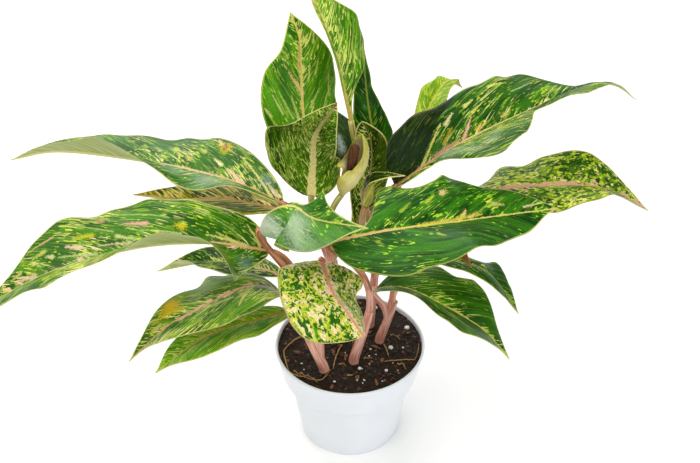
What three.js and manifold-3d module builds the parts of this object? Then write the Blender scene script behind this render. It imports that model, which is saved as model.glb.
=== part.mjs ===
// Potted chinese evergreen: a thin plastic nursery pot filled with potting soil,
// five leafy shoots standing in it, twenty two separate leaf blades, a flower and a bud.
// Millimetres, +Z up. The origin is the centre of the pot's underside, +X is the
// photo's right and -Y faces the viewer.
import * as THREE from 'three';
import Module from 'manifold-3d';
import { mergeVertices } from 'three/addons/utils/BufferGeometryUtils.js';

const wasm = await Module();
wasm.setup();
const { Manifold, Mesh } = wasm;

// Pot sizes
const potHeight = 81;
const rimRadius = 55;
const rimBandDepth = 26;
const rimBandFoot = 50;
const bodyTop = 46;
const baseRadius = 37.5;
const wall = 1.3;
const floorThickness = 2;
const drainHoleRadius = 4;
const drainCircleRadius = 24;
const drainHoleCount = 6;
const potSides = 40;

// Soil sizes
const soilLevel = 79.2;
const soilRings = 7;
const soilSides = 30;
const fitGap = 0.3;
const perliteCount = 16;

// Stem sizes
const buriedDepth = 28;
const stemSides = 10;
const petioleSides = 7;
const petioleSteps = 9;
const petioleFootRadius = 2.7;
const petioleEndRadius = 2.2;

// Blade sizes
const bladeThickness = 0.8;
const ribRelief = 1.1;
const bladeBaseHalf = 1.6;
const bladeArch = 25;
const marginWave = 2.5;
const marginWaves = 3;
const broadBladeHalf = 24;
const broadBladeGrid = [15, 3];
const smallBladeGrid = [9, 2];

const potColour = 0xecf1f6;
const soilColour = 0x2a1c15;
const stemColour = 0xd8a08c;
const spatheColour = 0xd9cf80;
const spadixColour = 0x7a3b28;
const budColour = 0xb4ad5c;

const group = new THREE.Group();

// A seeded random number keeps every build the same
function seededRandom(seed) {
  let state = seed;
  return () => {
    state = (state * 1664525 + 1013904223) % 4294967296;
    return state / 4294967296;
  };
}

function solidFrom(geometry) {
  const bare = geometry.clone();
  bare.deleteAttribute('normal');
  bare.deleteAttribute('uv');
  const merged = mergeVertices(bare, 1e-4);
  const vertProperties = Float32Array.from(merged.attributes.position.array);
  const triVerts = Uint32Array.from(merged.index.array);
  return new Manifold(new Mesh({ numProp: 3, vertProperties, triVerts }));
}

function geometryFrom(solid) {
  const mesh = solid.getMesh();
  const geometry = new THREE.BufferGeometry();
  const positions = Float32Array.from(mesh.vertProperties);
  geometry.setAttribute('position', new THREE.BufferAttribute(positions, 3));
  geometry.setIndex(new THREE.BufferAttribute(Uint32Array.from(mesh.triVerts), 1));
  geometry.computeVertexNormals();
  return geometry;
}

function unite(geometries) {
  let whole = solidFrom(geometries[0]);
  for (const geometry of geometries.slice(1)) {
    whole = whole.add(solidFrom(geometry));
  }
  return whole;
}

function addPart(name, geometry, colour, roughness) {
  const material = new THREE.MeshStandardMaterial({ color: colour, roughness, metalness: 0 });
  const mesh = new THREE.Mesh(geometry, material);
  mesh.name = name;
  group.add(mesh);
}

// A closed skin around a list of equal loops of points, with both ends capped
function loftLoops(loops) {
  const count = loops[0].length;
  const points = loops.flat();
  const faces = [];
  for (let i = 0; i < loops.length - 1; i += 1) {
    for (let j = 0; j < count; j += 1) {
      const a = i * count + j;
      const b = i * count + ((j + 1) % count);
      faces.push(a, b, b + count, a, b + count, a + count);
    }
  }
  const last = (loops.length - 1) * count;
  const firstCentre = points.length;
  points.push(centreOf(loops[0]));
  points.push(centreOf(loops[loops.length - 1]));
  for (let j = 0; j < count; j += 1) {
    const k = (j + 1) % count;
    faces.push(k, j, firstCentre);
    faces.push(last + j, last + k, firstCentre + 1);
  }
  return indexed(points, faces);
}

function centreOf(loop) {
  const sum = new THREE.Vector3();
  for (const point of loop) {
    sum.add(point);
  }
  return sum.divideScalar(loop.length);
}

function indexed(points, faces) {
  const geometry = new THREE.BufferGeometry();
  geometry.setFromPoints(points);
  geometry.setIndex(faces);
  return geometry;
}

// A round tube along a curve whose radius follows a function of the way along
function roundTube(curve, steps, sides, radiusAt) {
  const loops = [];
  let side = new THREE.Vector3(1, 0.2, 0);
  for (let i = 0; i <= steps; i += 1) {
    const t = i / steps;
    const centre = curve.getPointAt(t);
    const along = curve.getTangentAt(t);
    side = side.clone().addScaledVector(along, -side.dot(along)).normalize();
    const other = new THREE.Vector3().crossVectors(along, side);
    const loop = [];
    for (let j = 0; j < sides; j += 1) {
      const angle = (2 * Math.PI * j) / sides;
      const radius = radiusAt(t);
      const point = centre.clone();
      point.addScaledVector(side, radius * Math.cos(angle));
      point.addScaledVector(other, radius * Math.sin(angle));
      loop.push(point);
    }
    loops.push(loop);
  }
  return loftLoops(loops);
}

function smoothCurve(points) {
  const vectors = points.map((p) => new THREE.Vector3(p[0], p[1], p[2]));
  return new THREE.CatmullRomCurve3(vectors, false, 'catmullrom', 0.5);
}

function lathe(profile, sides) {
  const points = profile.map((p) => new THREE.Vector2(p[0], p[1]));
  const geometry = new THREE.LatheGeometry(points, sides);
  geometry.rotateX(Math.PI / 2);
  return geometry;
}

// Pot: a tapered body with a deeper rim band, a rolled lip and drain holes
function buildPot() {
  const bandFoot = potHeight - rimBandDepth;
  const profile = [
    [0, 0],
    [baseRadius - 1, 0],
    [baseRadius, 1],
    [bodyTop - 0.4, bandFoot - 1.2],
    [bodyTop + 0.6, bandFoot - 0.2],
    [rimBandFoot - 0.8, bandFoot],
    [rimBandFoot, bandFoot + 0.8],
    [rimRadius - 0.5, potHeight - 3.2],
    [rimRadius, potHeight - 2.6],
    [rimRadius, potHeight - 0.7],
    [rimRadius - 0.6, potHeight],
    [rimRadius - wall, potHeight],
    [rimRadius - wall - 0.3, potHeight - 0.6],
    [rimBandFoot - wall, bandFoot + 2],
    [bodyTop - wall, bandFoot - 1],
    [baseRadius - wall, floorThickness],
    [0, floorThickness],
  ];
  let pot = solidFrom(lathe(profile, potSides));
  for (let i = 0; i < drainHoleCount; i += 1) {
    const angle = (2 * Math.PI * (i + 0.5)) / drainHoleCount;
    const hole = new THREE.CylinderGeometry(drainHoleRadius, drainHoleRadius, 10, 12);
    hole.rotateX(Math.PI / 2);
    hole.translate(drainCircleRadius * Math.cos(angle), drainCircleRadius * Math.sin(angle), 0);
    pot = pot.subtract(solidFrom(hole));
  }
  addPart('pot', geometryFrom(pot), potColour, 0.38);
}

function soilHeight(x, y) {
  const swell = 0.5 * Math.sin(0.17 * x + 0.6) * Math.cos(0.14 * y - 0.4);
  const lumps = 0.35 * Math.sin(0.52 * x + 0.31 * y) + 0.3 * Math.sin(0.44 * y - 0.6 * x + 1.3);
  return soilLevel + swell + lumps;
}

// Soil: fills the pot to just under the rim, with a lumpy top and perlite grains
function buildSoil(shoots) {
  const bandFoot = potHeight - rimBandDepth;
  const topRadius = rimRadius - wall - 0.9;
  const loops = [];
  const loopAt = (radius, heightAt) => {
    const loop = [];
    for (let j = 0; j < soilSides; j += 1) {
      const angle = (2 * Math.PI * j) / soilSides;
      const x = radius * Math.cos(angle);
      const y = radius * Math.sin(angle);
      loop.push(new THREE.Vector3(x, y, heightAt(x, y)));
    }
    loops.push(loop);
  };
  loopAt(baseRadius - wall - fitGap - 0.5, () => floorThickness + fitGap);
  loopAt(baseRadius - wall - fitGap - 0.1, () => floorThickness + fitGap + 1);
  loopAt(bodyTop - wall - fitGap - 0.4, () => bandFoot - 1.6);
  loopAt(rimBandFoot - wall - fitGap - 0.4, () => bandFoot + 3);
  for (let i = 0; i < soilRings; i += 1) {
    loopAt(topRadius * (1 - i / soilRings), soilHeight);
  }
  let soil = solidFrom(loftLoops(loops));
  for (const grain of perliteGrains(shoots)) {
    soil = soil.add(solidFrom(grain));
  }
  for (const shoot of shoots) {
    const radius = shoot.radius + fitGap;
    const hole = new THREE.CylinderGeometry(radius, radius, buriedDepth + 8, 20);
    hole.rotateX(Math.PI / 2);
    hole.translate(shoot.foot[0], shoot.foot[1], soilLevel - buriedDepth + (buriedDepth + 8) / 2);
    soil = soil.subtract(solidFrom(hole));
  }
  addPart('soil', geometryFrom(soil), soilColour, 0.95);
}

// Grains half sunk in the top of the soil, clear of the stems
function perliteGrains(shoots) {
  const random = seededRandom(504);
  const grains = [];
  while (grains.length < perliteCount) {
    const angle = 2 * Math.PI * random();
    const reach = 46 * Math.sqrt(random());
    const size = 1.2 + 0.9 * random();
    const x = reach * Math.cos(angle);
    const y = reach * Math.sin(angle);
    const clear = shoots.every((s) => Math.hypot(x - s.foot[0], y - s.foot[1]) > s.radius + 3.5);
    if (clear) {
      const grain = new THREE.IcosahedronGeometry(size, 0);
      grain.translate(x, y, soilHeight(x, y) - 0.2 * size);
      grains.push(grain);
    }
  }
  return grains;
}

// Leaf blades: each has the shoot and height that its stalk starts from, its rib as
// points from base to tip, the bearing of its axis in degrees from +X, the half
// widths left and right of the rib, and how many degrees each half rises from level
// at even stations from base to tip. Where the margin swings in and out, the widths
// are a share of the plain half width at even stations.
const leaves = [
  {
    name: 'leaf_left_high',
    shoot: 'shoot_centre',
    stalkFrom: 118,
    rib: [[-45, 2, 202], [-84, 18, 211], [-137, 32, 216], [-199, 39, 220], [-236, 41, 212]],
    bearing: 168,
    half: [31, 31],
    belly: 0.42,
    tip: 1.15,
    left: [30, 25, -5, 35, 62, 55, 45],
    right: [40, 30, 15, 0, 5, 5, 10],
    leftWidths: [0.9, 0.8, 0.75, 0.6, 0.6, 1, 0.8, 0.95, 1.1],
    rightWidths: [1.1, 1.05, 1.1, 1, 1.1, 0.97, 1.05, 1.15, 1.2],
    colour: 0x3f7a34,
  },
  {
    name: 'leaf_left_middle',
    shoot: 'shoot_centre',
    stalkFrom: 108,
    rib: [[-46, 18, 186], [-70, 26, 186], [-95, 34, 185], [-121, 40, 180], [-156, 46, 180]],
    bearing: 166,
    half: [23, 23],
    left: [10, 10, 15, 30, 30],
    right: [-10, -8, 0, 15, 30],
    colour: 0x8f9a3c,
  },
  {
    name: 'leaf_left_long',
    shoot: 'shoot_left',
    stalkFrom: 118,
    rib: [[-53, -28, 185], [-91, -44, 203], [-135, -56, 207], [-187, -68, 196], [-230, -74, 173]],
    bearing: 192,
    half: [37, 37],
    belly: 0.45,
    tip: 0.95,
    base: 0.6,
    left: [-20, -25, 35, 50, 32, 25, 20, 15, 10],
    right: [45, 35, 30, 20, 15, 30, 32, 20, 10],
    leftWidths: [
      0.7, 0.8, 0.95, 1.25, 0.85, 0.65, 0.65, 0.65, 1,
      0.7, 0.65, 1.2, 1.1, 0.95, 1.15, 1.4, 1.6,
    ],
    rightWidths: [
      1.25, 1.15, 1, 0.9, 0.9, 0.9, 0.95, 1, 0.95,
      0.82, 0.95, 1, 0.95, 0.85, 0.77, 0.8, 1.1,
    ],
    colour: 0x4c8438,
  },
  {
    name: 'leaf_left_small',
    shoot: 'shoot_centre',
    stalkFrom: 92,
    rib: [[-49, 12, 133], [-67, 22, 133], [-88, 32, 130], [-112, 42, 122], [-148, 52, 106]],
    bearing: 158,
    half: [19, 19],
    left: [10, 10, 20, 50, 60],
    right: [-10, -15, 0, 30, 40],
    colour: 0x3f6d22,
  },
  {
    name: 'leaf_left_low',
    shoot: 'shoot_left',
    stalkFrom: 100,
    rib: [[-47, -25, 148], [-66, -36, 162], [-100, -54, 156], [-120, -62, 147], [-144, -70, 126]],
    bearing: 205,
    half: [33, 33],
    left: [20, 12, 10, 22, 30],
    right: [0, -20, -12, 8, 25],
    leftWidths: [0.8, 0.94, 0.98, 0.98, 0.94, 0.9, 0.98, 0.6, 0.6],
    rightWidths: [1.5, 1, 1.1, 1.2, 0.92, 0.92, 0.92, 0.8, 0.95],
    colour: 0x5d8a3e,
  },
  {
    name: 'leaf_left_lowest',
    shoot: 'shoot_left',
    stalkFrom: 90,
    rib: [[-42, -30, 135], [-59, -38, 135], [-83, -50, 136], [-102, -58, 131], [-129, -66, 112]],
    bearing: 202,
    half: [27, 27],
    left: [20, 20, 18, 18, 20],
    right: [10, 0, 0, 8, 20],
    leftWidths: [1.25, 0.9, 0.84, 0.98, 0.95, 1.15, 1.05, 0.76, 0.75],
    rightWidths: [0.7, 0.6, 0.55, 0.5, 0.54, 0.65, 0.98, 1.3, 1.4],
    colour: 0x5b8c22,
  },
  {
    name: 'leaf_front_hanging',
    shoot: 'shoot_left',
    stalkFrom: 84,
    rib: [[-18, -38, 184], [-16, -56, 190], [-10, -78, 190], [-2, -96, 190], [8, -110, 183]],
    bearing: 285,
    half: [32, 32],
    belly: 0.6,
    tip: 0.5,
    base: 0.5,
    left: [-20, -42, -58, -55, -50],
    right: [4, 5, 5, 5, 5],
    leftWidths: [1.7, 1.45, 1.08, 1, 1.15, 1, 0.72, 0.55, 0.3],
    rightWidths: [1.6, 1.35, 1.15, 1.05, 1.02, 1.06, 1.18, 1.18, 0.9],
    colour: 0xb9be5a,
  },
  {
    name: 'leaf_front_folded',
    shoot: 'shoot_left',
    stalkFrom: 86,
    first: [-18, -18, 150],
    second: [-61, -42, 198],
    rib: [
      [-57, -44, 212], [-52, -46, 225], [-43, -50, 234],
      [-33, -54, 237], [-20, -60, 232], [11, -64, 228],
    ],
    bearing: 0,
    half: [24, 27],
    left: [-45, -45, -42, -25, 55, 75, 62, 35, 10],
    right: [-35, -40, -50, -52, -45, -20, 0],
    leftWidths: [
      1, 1, 1, 0.95, 0.8, 0.5, 0.2, 0.1, 0.15,
      0.6, 0.95, 0.68, 0.5, 0.4, 0.36, 0.38, 0.5,
    ],
    colour: 0x6f9a6a,
  },
  {
    name: 'leaf_right_broad',
    shoot: 'shoot_front',
    stalkFrom: 122,
    first: [20, -18, 175],
    second: [-26, -60, 210],
    rib: [[-12, -58, 214], [25, -50, 217], [63, -38, 214], [102, -26, 212], [135, -16, 210]],
    bearing: 10,
    half: [38, 38],
    belly: 0.4,
    base: 0.6,
    left: [10, 18, 14, 26, 10, 15, 20],
    right: [-45, -30, -10, 10, 0, -22, -20],
    leftWidths: [
      0.1, 0.1, 0.13, 0.38, 0.92, 0.95, 0.8, 0.76, 0.86,
      1.12, 1.24, 1.16, 1.2, 1.35, 1.6, 1.8, 2,
    ],
    rightWidths: [1.15, 0.96, 0.98, 0.94, 1.05, 1.08, 0.93, 1.05, 0.5],
    colour: 0x3a6f36,
  },
  {
    name: 'leaf_right_high',
    shoot: 'shoot_back',
    stalkFrom: 118,
    rib: [[30, 4, 214], [70, 24, 233], [115, 44, 246], [160, 58, 260], [181, 62, 259], [198, 64, 247]],
    bearing: 16,
    half: [39, 39],
    base: 0.38,
    left: [72, 60, 25, 20, 0, -15, -10],
    right: [10, 15, 15, 25, 30, 25, 20],
    leftWidths: [1.2, 1.15, 1, 0.92, 0.8, 0.85, 0.9, 0.95, 1.02, 1.2, 1.3, 1, 0.3, 0.3, 0.4, 0.8, 0.6],
    rightWidths: [0.2, 0.2, 0.2, 0.3, 1, 1.15, 1.1, 1, 0.78, 0.4, 0.9, 1.5, 1.5, 1.5, 0.9, 0.5, 0.3],
    colour: 0x3f7433,
  },
  {
    name: 'leaf_right_far',
    shoot: 'shoot_right',
    stalkFrom: 110,
    rib: [[78, 16, 199], [125, 31, 197], [177, 42, 188], [217, 48, 165]],
    bearing: 13,
    half: [32, 32],
    left: [-20, -15, 0, 40, 30, 35],
    right: [0, -5, 0, 18, 18, 20],
    leftWidths: [0.7, 0.8, 0.75, 0.9, 1.1, 1.2, 0.9, 0.9, 0.9, 1, 1.05, 1.1, 1.15, 1.2, 1.3, 1.4, 1.4],
    rightWidths: [1.5, 1.25, 1.02, 0.98, 1.02, 1.3, 1, 1.2, 1.5],
    colour: 0x7a9440,
  },
  {
    name: 'leaf_back_young',
    shoot: 'shoot_back',
    stalkFrom: 108,
    rib: [[50, 64, 223], [55, 74, 232], [62, 86, 240], [72, 96, 246], [82, 104, 236]],
    bearing: 75,
    half: [12, 14],
    tip: 0.9,
    left: [0, 0, 0, 0, 10],
    right: [20, 30, 30, 10, 10],
    leftWidths: [1.4, 0.88, 0.75, 0.8, 0.98, 0.78, 1.1, 1, 0.5],
    rightWidths: [1.4, 1.3, 1, 0.88, 0.74, 0.6, 0.7, 0.35, 0.2],
    colour: 0x9cba3c,
  },
  {
    name: 'leaf_top_left',
    shoot: 'shoot_centre',
    stalkFrom: 134,
    rib: [[-27, 36, 215], [-32, 50, 245], [-33, 60, 265], [-34, 71, 288], [-40, 78, 305]],
    bearing: 100,
    half: [31, 31],
    left: [0, 10, 10, 15, 0],
    right: [-30, -30, -25, -10, 0],
    leftWidths: [1.2, 1.05, 0.9, 0.9, 0.95, 1, 0.86, 1.1, 1.5],
    rightWidths: [1, 0.8, 0.9, 0.9, 0.95, 1, 1.2, 1.05, 1.2],
    colour: 0x4f8f2c,
  },
  {
    name: 'leaf_top_tall',
    shoot: 'shoot_back',
    stalkFrom: 128,
    first: [24, 34, 165],
    second: [5, 31, 215],
    rib: [[1, 37, 244], [-3, 40, 262], [-7, 45, 279], [-12, 51, 294], [-18, 57, 308], [-25, 65, 326]],
    bearing: 110,
    half: [12, 29],
    belly: 0.6,
    tip: 0.62,
    base: 0.8,
    left: [40, 60, 70, 60, 30],
    right: [0, -10, -25, -10, 0],
    leftWidths: [0.3, 0.3, 0.4, 0.8, 1.2, 0.7, 0.5, 0.6, 0.6],
    rightWidths: [0.1, 0.15, 0.4, 0.8, 1, 0.87, 0.95, 0.7, 0.5],
    colour: 0x4a8a20,
  },
  {
    name: 'leaf_top_back',
    shoot: 'shoot_back',
    stalkFrom: 122,
    rib: [[17, 50, 213], [15, 54, 231], [12, 60, 250], [10, 66, 267], [9, 73, 283]],
    bearing: 100,
    half: [18, 15],
    left: [0, 0, 0, 0, 0],
    right: [0, -10, -15, -10, 0],
    leftWidths: [1.6, 1.2, 0.75, 0.6, 0.55, 0.55, 0.6, 0.6, 0.6],
    rightWidths: [1.5, 1.4, 0.9, 0.65, 0.5, 0.3, 0.4, 0.35, 0.35],
    colour: 0x2f6a1c,
  },
  {
    name: 'leaf_centre_cupped',
    shoot: 'shoot_centre',
    stalkFrom: 140,
    rib: [[-26, 8, 203], [-25, 13, 217], [-24, 15, 232], [-21, 12, 251], [-8, -3, 280]],
    bearing: 90,
    half: [32, 28],
    belly: 0.5,
    tip: 0.8,
    base: 0.5,
    left: [-25, 0, 0, 20, 20],
    right: [10, 22, 45, 68, 72],
    rightWidths: [1, 0.8, 0.74, 0.95, 1],
    colour: 0x55802a,
  },
  {
    name: 'leaf_centre_curled',
    shoot: 'shoot_centre',
    stalkFrom: 144,
    rib: [[3, 17, 168], [9, 22, 188], [14, 26, 214], [14, 25, 236], [8, 22, 253]],
    bearing: 80,
    half: [14, 14],
    belly: 0.5,
    tip: 0.7,
    left: [-10, 0, 10, 20, 20],
    right: [-20, -25, -20, 0, 10],
    leftWidths: [0.7, 0.6, 0.75, 0.85, 0.9, 1, 1.1, 1.25, 1.5],
    rightWidths: [0.6, 0.55, 0.75, 0.9, 0.9, 0.85, 0.95, 1.2, 1.3],
    colour: 0x5e7a34,
  },
  {
    name: 'leaf_centre_pointed',
    shoot: 'shoot_back',
    stalkFrom: 138,
    first: [17, 18, 170],
    second: [6, 8, 204],
    rib: [[9, 6, 211], [13, 4, 220], [24, 2, 224], [36, 0, 225]],
    bearing: 12,
    half: [4, 4],
    left: [0, 0, 0],
    right: [0, 0, 0],
    colour: 0x4c7a22,
  },
  {
    name: 'leaf_centre_dark',
    shoot: 'shoot_back',
    stalkFrom: 138,
    rib: [[11, 37, 208], [3, 41, 223], [-3, 46, 236], [-11, 50, 247]],
    bearing: 120,
    half: [15, 8],
    left: [-15, -4, 0],
    right: [0, 0, 0],
    colour: 0x2f5a22,
  },
  {
    name: 'leaf_right_low',
    shoot: 'shoot_right',
    stalkFrom: 98,
    rib: [[18, -10, 138], [34, -18, 146], [51, -26, 145], [74, -36, 137], [91, -42, 127], [109, -46, 106]],
    bearing: 338,
    half: [33, 33],
    left: [10, 0, 10, 10, 5],
    right: [25, 32, 26, 28, 30],
    leftWidths: [1.1, 1.1, 0.9, 0.9, 0.95, 1, 0.9, 0.85, 0.95, 1.15, 1.22, 1.12, 1, 0.9, 0.92, 1, 1.3],
    rightWidths: [0.85, 1.05, 0.65, 0.6, 0.85, 1.3, 0.97, 0.7, 0.4],
    colour: 0x4b7f22,
  },
  {
    name: 'leaf_right_small',
    shoot: 'shoot_right',
    stalkFrom: 104,
    rib: [[58, 22, 141], [79, 20, 139], [97, 16, 135], [111, 13, 119], [124, 10, 99]],
    bearing: 350,
    half: [22, 22],
    left: [0, -18, -18, 10, 20],
    right: [20, 18, 12, 10, 10],
    leftWidths: [1.4, 1.2, 1.05, 1, 0.95, 0.75, 0.6, 0.65, 0.9, 1.2, 1.5, 1.2, 0.95, 1, 0.95, 0.8, 0.5],
    rightWidths: [1.3, 0.92, 0.8, 0.8, 0.8, 0.94, 0.7, 1, 1.5],
    colour: 0x456f22,
  },
  {
    name: 'leaf_right_dried',
    shoot: 'shoot_right',
    stalkFrom: 106,
    rib: [[69, 8, 161], [75, 6, 158], [80, 4, 153], [85, 2, 148]],
    bearing: 330,
    half: [4, 5],
    left: [40, 60, 70],
    right: [40, 60, 70],
    colour: 0x8a5a30,
  },
];

function degrees(value) {
  return (value * Math.PI) / 180;
}

// The value at t of a smooth run through evenly spaced stations
function alongStations(values, t) {
  const points = values.map((v, i) => new THREE.Vector2(i, v));
  const curve = new THREE.SplineCurve(points);
  return curve.getPoint(t).y;
}

// Half width of a blade, as a share of its widest, from base to tip
function outline(leaf, t) {
  const belly = leaf.belly ?? 0.38;
  if (t < belly) {
    return Math.sin((Math.PI / 2) * (t / belly)) ** (leaf.base ?? 0.7);
  }
  const x = (t - belly) / (1 - belly);
  return Math.max(0, 1 - x ** 1.8) ** (leaf.tip ?? 1.3);
}

// Rib point, direction, side and upper normal of a blade at t
function ribFrame(leaf, curve, t) {
  const bearing = degrees(leaf.bearing);
  const along = curve.getTangentAt(t);
  const side = new THREE.Vector3(-Math.sin(bearing), Math.cos(bearing), 0);
  side.addScaledVector(along, -side.dot(along)).normalize();
  const up = new THREE.Vector3().crossVectors(along, side);
  return { centre: curve.getPointAt(t), along, side, up };
}

// Points from the rib out to the margin on one side of a blade at t
function halfRow(leaf, frame, t, onLeft, columns) {
  const hand = onLeft ? 1 : -1;
  const least = bladeBaseHalf * (1 - 0.7 * t);
  const shares = (onLeft ? leaf.leftWidths : leaf.rightWidths) ?? [1, 1];
  const share = alongStations(shares, t);
  const width = leaf.half[onLeft ? 0 : 1] * outline(leaf, t) * share + least;
  const rise = alongStations(onLeft ? leaf.left : leaf.right, t);
  const arch = (onLeft ? leaf.leftArch : leaf.rightArch) ?? bladeArch;
  const phase = onLeft ? 0 : 0.37;
  const ripple = Math.sin(2 * Math.PI * (marginWaves * t + phase));
  const wave = marginWave * ripple * Math.sin(Math.PI * t);
  const row = [];
  let out = 0;
  let lift = 0;
  for (let j = 1; j <= columns; j += 1) {
    const q = (j - 0.5) / columns;
    const slope = degrees(rise + arch * (0.5 - q) + wave * q * 1.5);
    out += (width / columns) * Math.cos(slope);
    lift += (width / columns) * Math.sin(slope);
    const point = frame.centre.clone();
    point.addScaledVector(frame.side, hand * out);
    point.addScaledVector(frame.up, lift);
    row.push(point);
  }
  return row;
}

// The mid surface of a blade as rows of points, from the right margin to the left
function bladeRows(leaf, steps, columns) {
  const curve = smoothCurve(leaf.rib);
  const rows = [];
  for (let i = 0; i <= steps; i += 1) {
    const t = i / steps;
    const frame = ribFrame(leaf, curve, t);
    const right = halfRow(leaf, frame, t, false, columns).reverse();
    const left = halfRow(leaf, frame, t, true, columns);
    rows.push([...right, frame.centre, ...left]);
  }
  return rows;
}

function surfaceNormal(rows, i, j) {
  const before = rows[Math.max(i - 1, 0)][j];
  const after = rows[Math.min(i + 1, rows.length - 1)][j];
  const rightward = rows[i][Math.max(j - 1, 0)];
  const leftward = rows[i][Math.min(j + 1, rows[i].length - 1)];
  const along = after.clone().sub(before);
  const across = leftward.clone().sub(rightward);
  return along.cross(across).normalize();
}

// A thin closed blade: the mid surface moved out to both faces, both split alike,
// with the rib standing out under it
function bladeGeometry(rows, thickness, relief) {
  const steps = rows.length - 1;
  const count = rows[0].length;
  const middle = (count - 1) / 2;
  const upper = [];
  const lower = [];
  for (let i = 0; i <= steps; i += 1) {
    for (let j = 0; j < count; j += 1) {
      const normal = surfaceNormal(rows, i, j);
      const below = thickness / 2 + (j === middle ? relief * (1 - i / steps) : 0);
      upper.push(rows[i][j].clone().addScaledVector(normal, thickness / 2));
      lower.push(rows[i][j].clone().addScaledVector(normal, -below));
    }
  }
  const points = [...upper, ...lower];
  const under = upper.length;
  const faces = [];
  for (let i = 0; i < steps; i += 1) {
    for (let j = 0; j < count - 1; j += 1) {
      const a = i * count + j;
      const b = a + 1;
      const c = b + count;
      const d = a + count;
      faces.push(a, c, b, a, d, c);
      faces.push(under + a, under + b, under + c, under + a, under + c, under + d);
    }
    for (const [edge, turn] of [[0, 1], [count - 1, -1]]) {
      const near = i * count + edge;
      const far = near + count;
      if (turn > 0) {
        faces.push(near, under + near, under + far, near, under + far, far);
      } else {
        faces.push(near, under + far, under + near, near, far, under + far);
      }
    }
  }
  for (let j = 0; j < count - 1; j += 1) {
    const end = steps * count + j;
    faces.push(j, j + 1, under + j + 1, j, under + j + 1, under + j);
    faces.push(end, under + end + 1, end + 1, end, under + end, under + end + 1);
  }
  return indexed(points, faces);
}

function buildLeaf(leaf) {
  const [steps, columns] = leaf.half[1] > broadBladeHalf ? broadBladeGrid : smallBladeGrid;
  const rows = bladeRows(leaf, steps, columns);
  addPart(leaf.name, bladeGeometry(rows, bladeThickness, ribRelief), leaf.colour, 0.42);
}

// Shoots: each stands in a hole in the soil and carries the stalks of its leaves
const shoots = [
  { name: 'shoot_left', foot: [-19, -27], radius: 3.9, lean: [-33, -27, 122] },
  { name: 'shoot_front', foot: [3, -18], radius: 3.9, lean: [14, -18, 126] },
  { name: 'shoot_right', foot: [22, 4], radius: 3.4, lean: [32, 4, 116] },
  { name: 'shoot_back', foot: [15, 21], radius: 3.6, lean: [19, 22, 140] },
  { name: 'shoot_centre', foot: [-10, 8], radius: 4.2, lean: [-12, 12, 146] },
];

function shootAxis(shoot) {
  const [x, y] = shoot.foot;
  const middle = (soilLevel + shoot.lean[2]) / 2;
  return smoothCurve([
    [x, y, soilLevel - buriedDepth + fitGap],
    [x, y, soilLevel - 8],
    [x, y, soilLevel + 2],
    [(x + shoot.lean[0]) / 2, (y + shoot.lean[1]) / 2, middle],
    shoot.lean,
  ]);
}

// The point of a shoot's axis at a height, for a stalk to grow from
function axisPointAt(shoot, height) {
  const [x, y] = shoot.foot;
  const share = Math.min(1, Math.max(0, (height - soilLevel) / (shoot.lean[2] - soilLevel)));
  return new THREE.Vector3(
    x + (shoot.lean[0] - x) * share,
    y + (shoot.lean[1] - y) * share,
    Math.min(height, shoot.lean[2]),
  );
}

// A leaf stalk from the shoot to just short of the blade's base
function petiole(shoot, leaf) {
  const rib = smoothCurve(leaf.rib);
  const base = rib.getPointAt(0);
  const along = rib.getTangentAt(0);
  const start = axisPointAt(shoot, leaf.stalkFrom);
  const end = base.clone().addScaledVector(along, -fitGap);
  const reach = start.distanceTo(end);
  const climb = new THREE.Vector3(0, 0, 0.45 * reach);
  const first = leaf.first ? new THREE.Vector3(...leaf.first) : start.clone().add(climb);
  const approach = end.clone().addScaledVector(along, -0.32 * reach);
  const second = leaf.second ? new THREE.Vector3(...leaf.second) : approach;
  const curve = new THREE.CubicBezierCurve3(start, first, second, end);
  const radiusAt = (t) => petioleFootRadius + (petioleEndRadius - petioleFootRadius) * t ** 0.7;
  return roundTube(curve, petioleSteps, petioleSides, radiusAt);
}

function buildShoot(shoot, extras) {
  const radiusAt = (t) => shoot.radius * (1 - 0.22 * t);
  const stem = roundTube(shootAxis(shoot), 12, stemSides, radiusAt);
  const own = leaves.filter((leaf) => leaf.shoot === shoot.name);
  const stalks = own.map((leaf) => petiole(shoot, leaf));
  const whole = unite([stem, ...stalks, ...extras]);
  addPart(shoot.name, geometryFrom(whole), stemColour, 0.5);
}

// Flower: a cream hood around a short brown spike, and a closed bud beside it
const hood = {
  rib: [[-5.5, 0, 210], [3.5, 5, 220], [8.5, 8, 231.5], [9.5, 6, 244], [7.5, 0, 256]],
  bearing: 66,
  half: [20, 21],
  belly: 0.42,
  tip: 0.72,
  left: [100, 85, 68, 52, 35],
  right: [95, 95, 92, 82, 62],
  leftArch: -40,
  rightArch: -130,
  leftWidths: [1.8, 1.25, 1.12, 1.05, 1.15, 1.1, 0.95, 0.9, 1],
  rightWidths: [2.4, 1.8, 1.35, 1.12, 1.05, 1, 1, 1, 1],
};
const hoodThickness = 0.7;
const hoodRelief = 0.3;
const hoodGrid = [12, 6];
const spikeFoot = [-0.9, -2.1, 224];
const spikeTip = [3.6, -3, 250];
const spikeFootRadius = 1.1;
const spikeRadius = 3.2;
const budFoot = [10, -4, 203];
const budTip = [14.5, -3, 219.5];
const budRadius = 3.4;
const flowerStalkRadius = 2.2;
const flowerStalkGap = 0.5;

function buildHood() {
  const rows = bladeRows(hood, ...hoodGrid);
  addPart('spathe', bladeGeometry(rows, hoodThickness, hoodRelief), spatheColour, 0.45);
}

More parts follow.
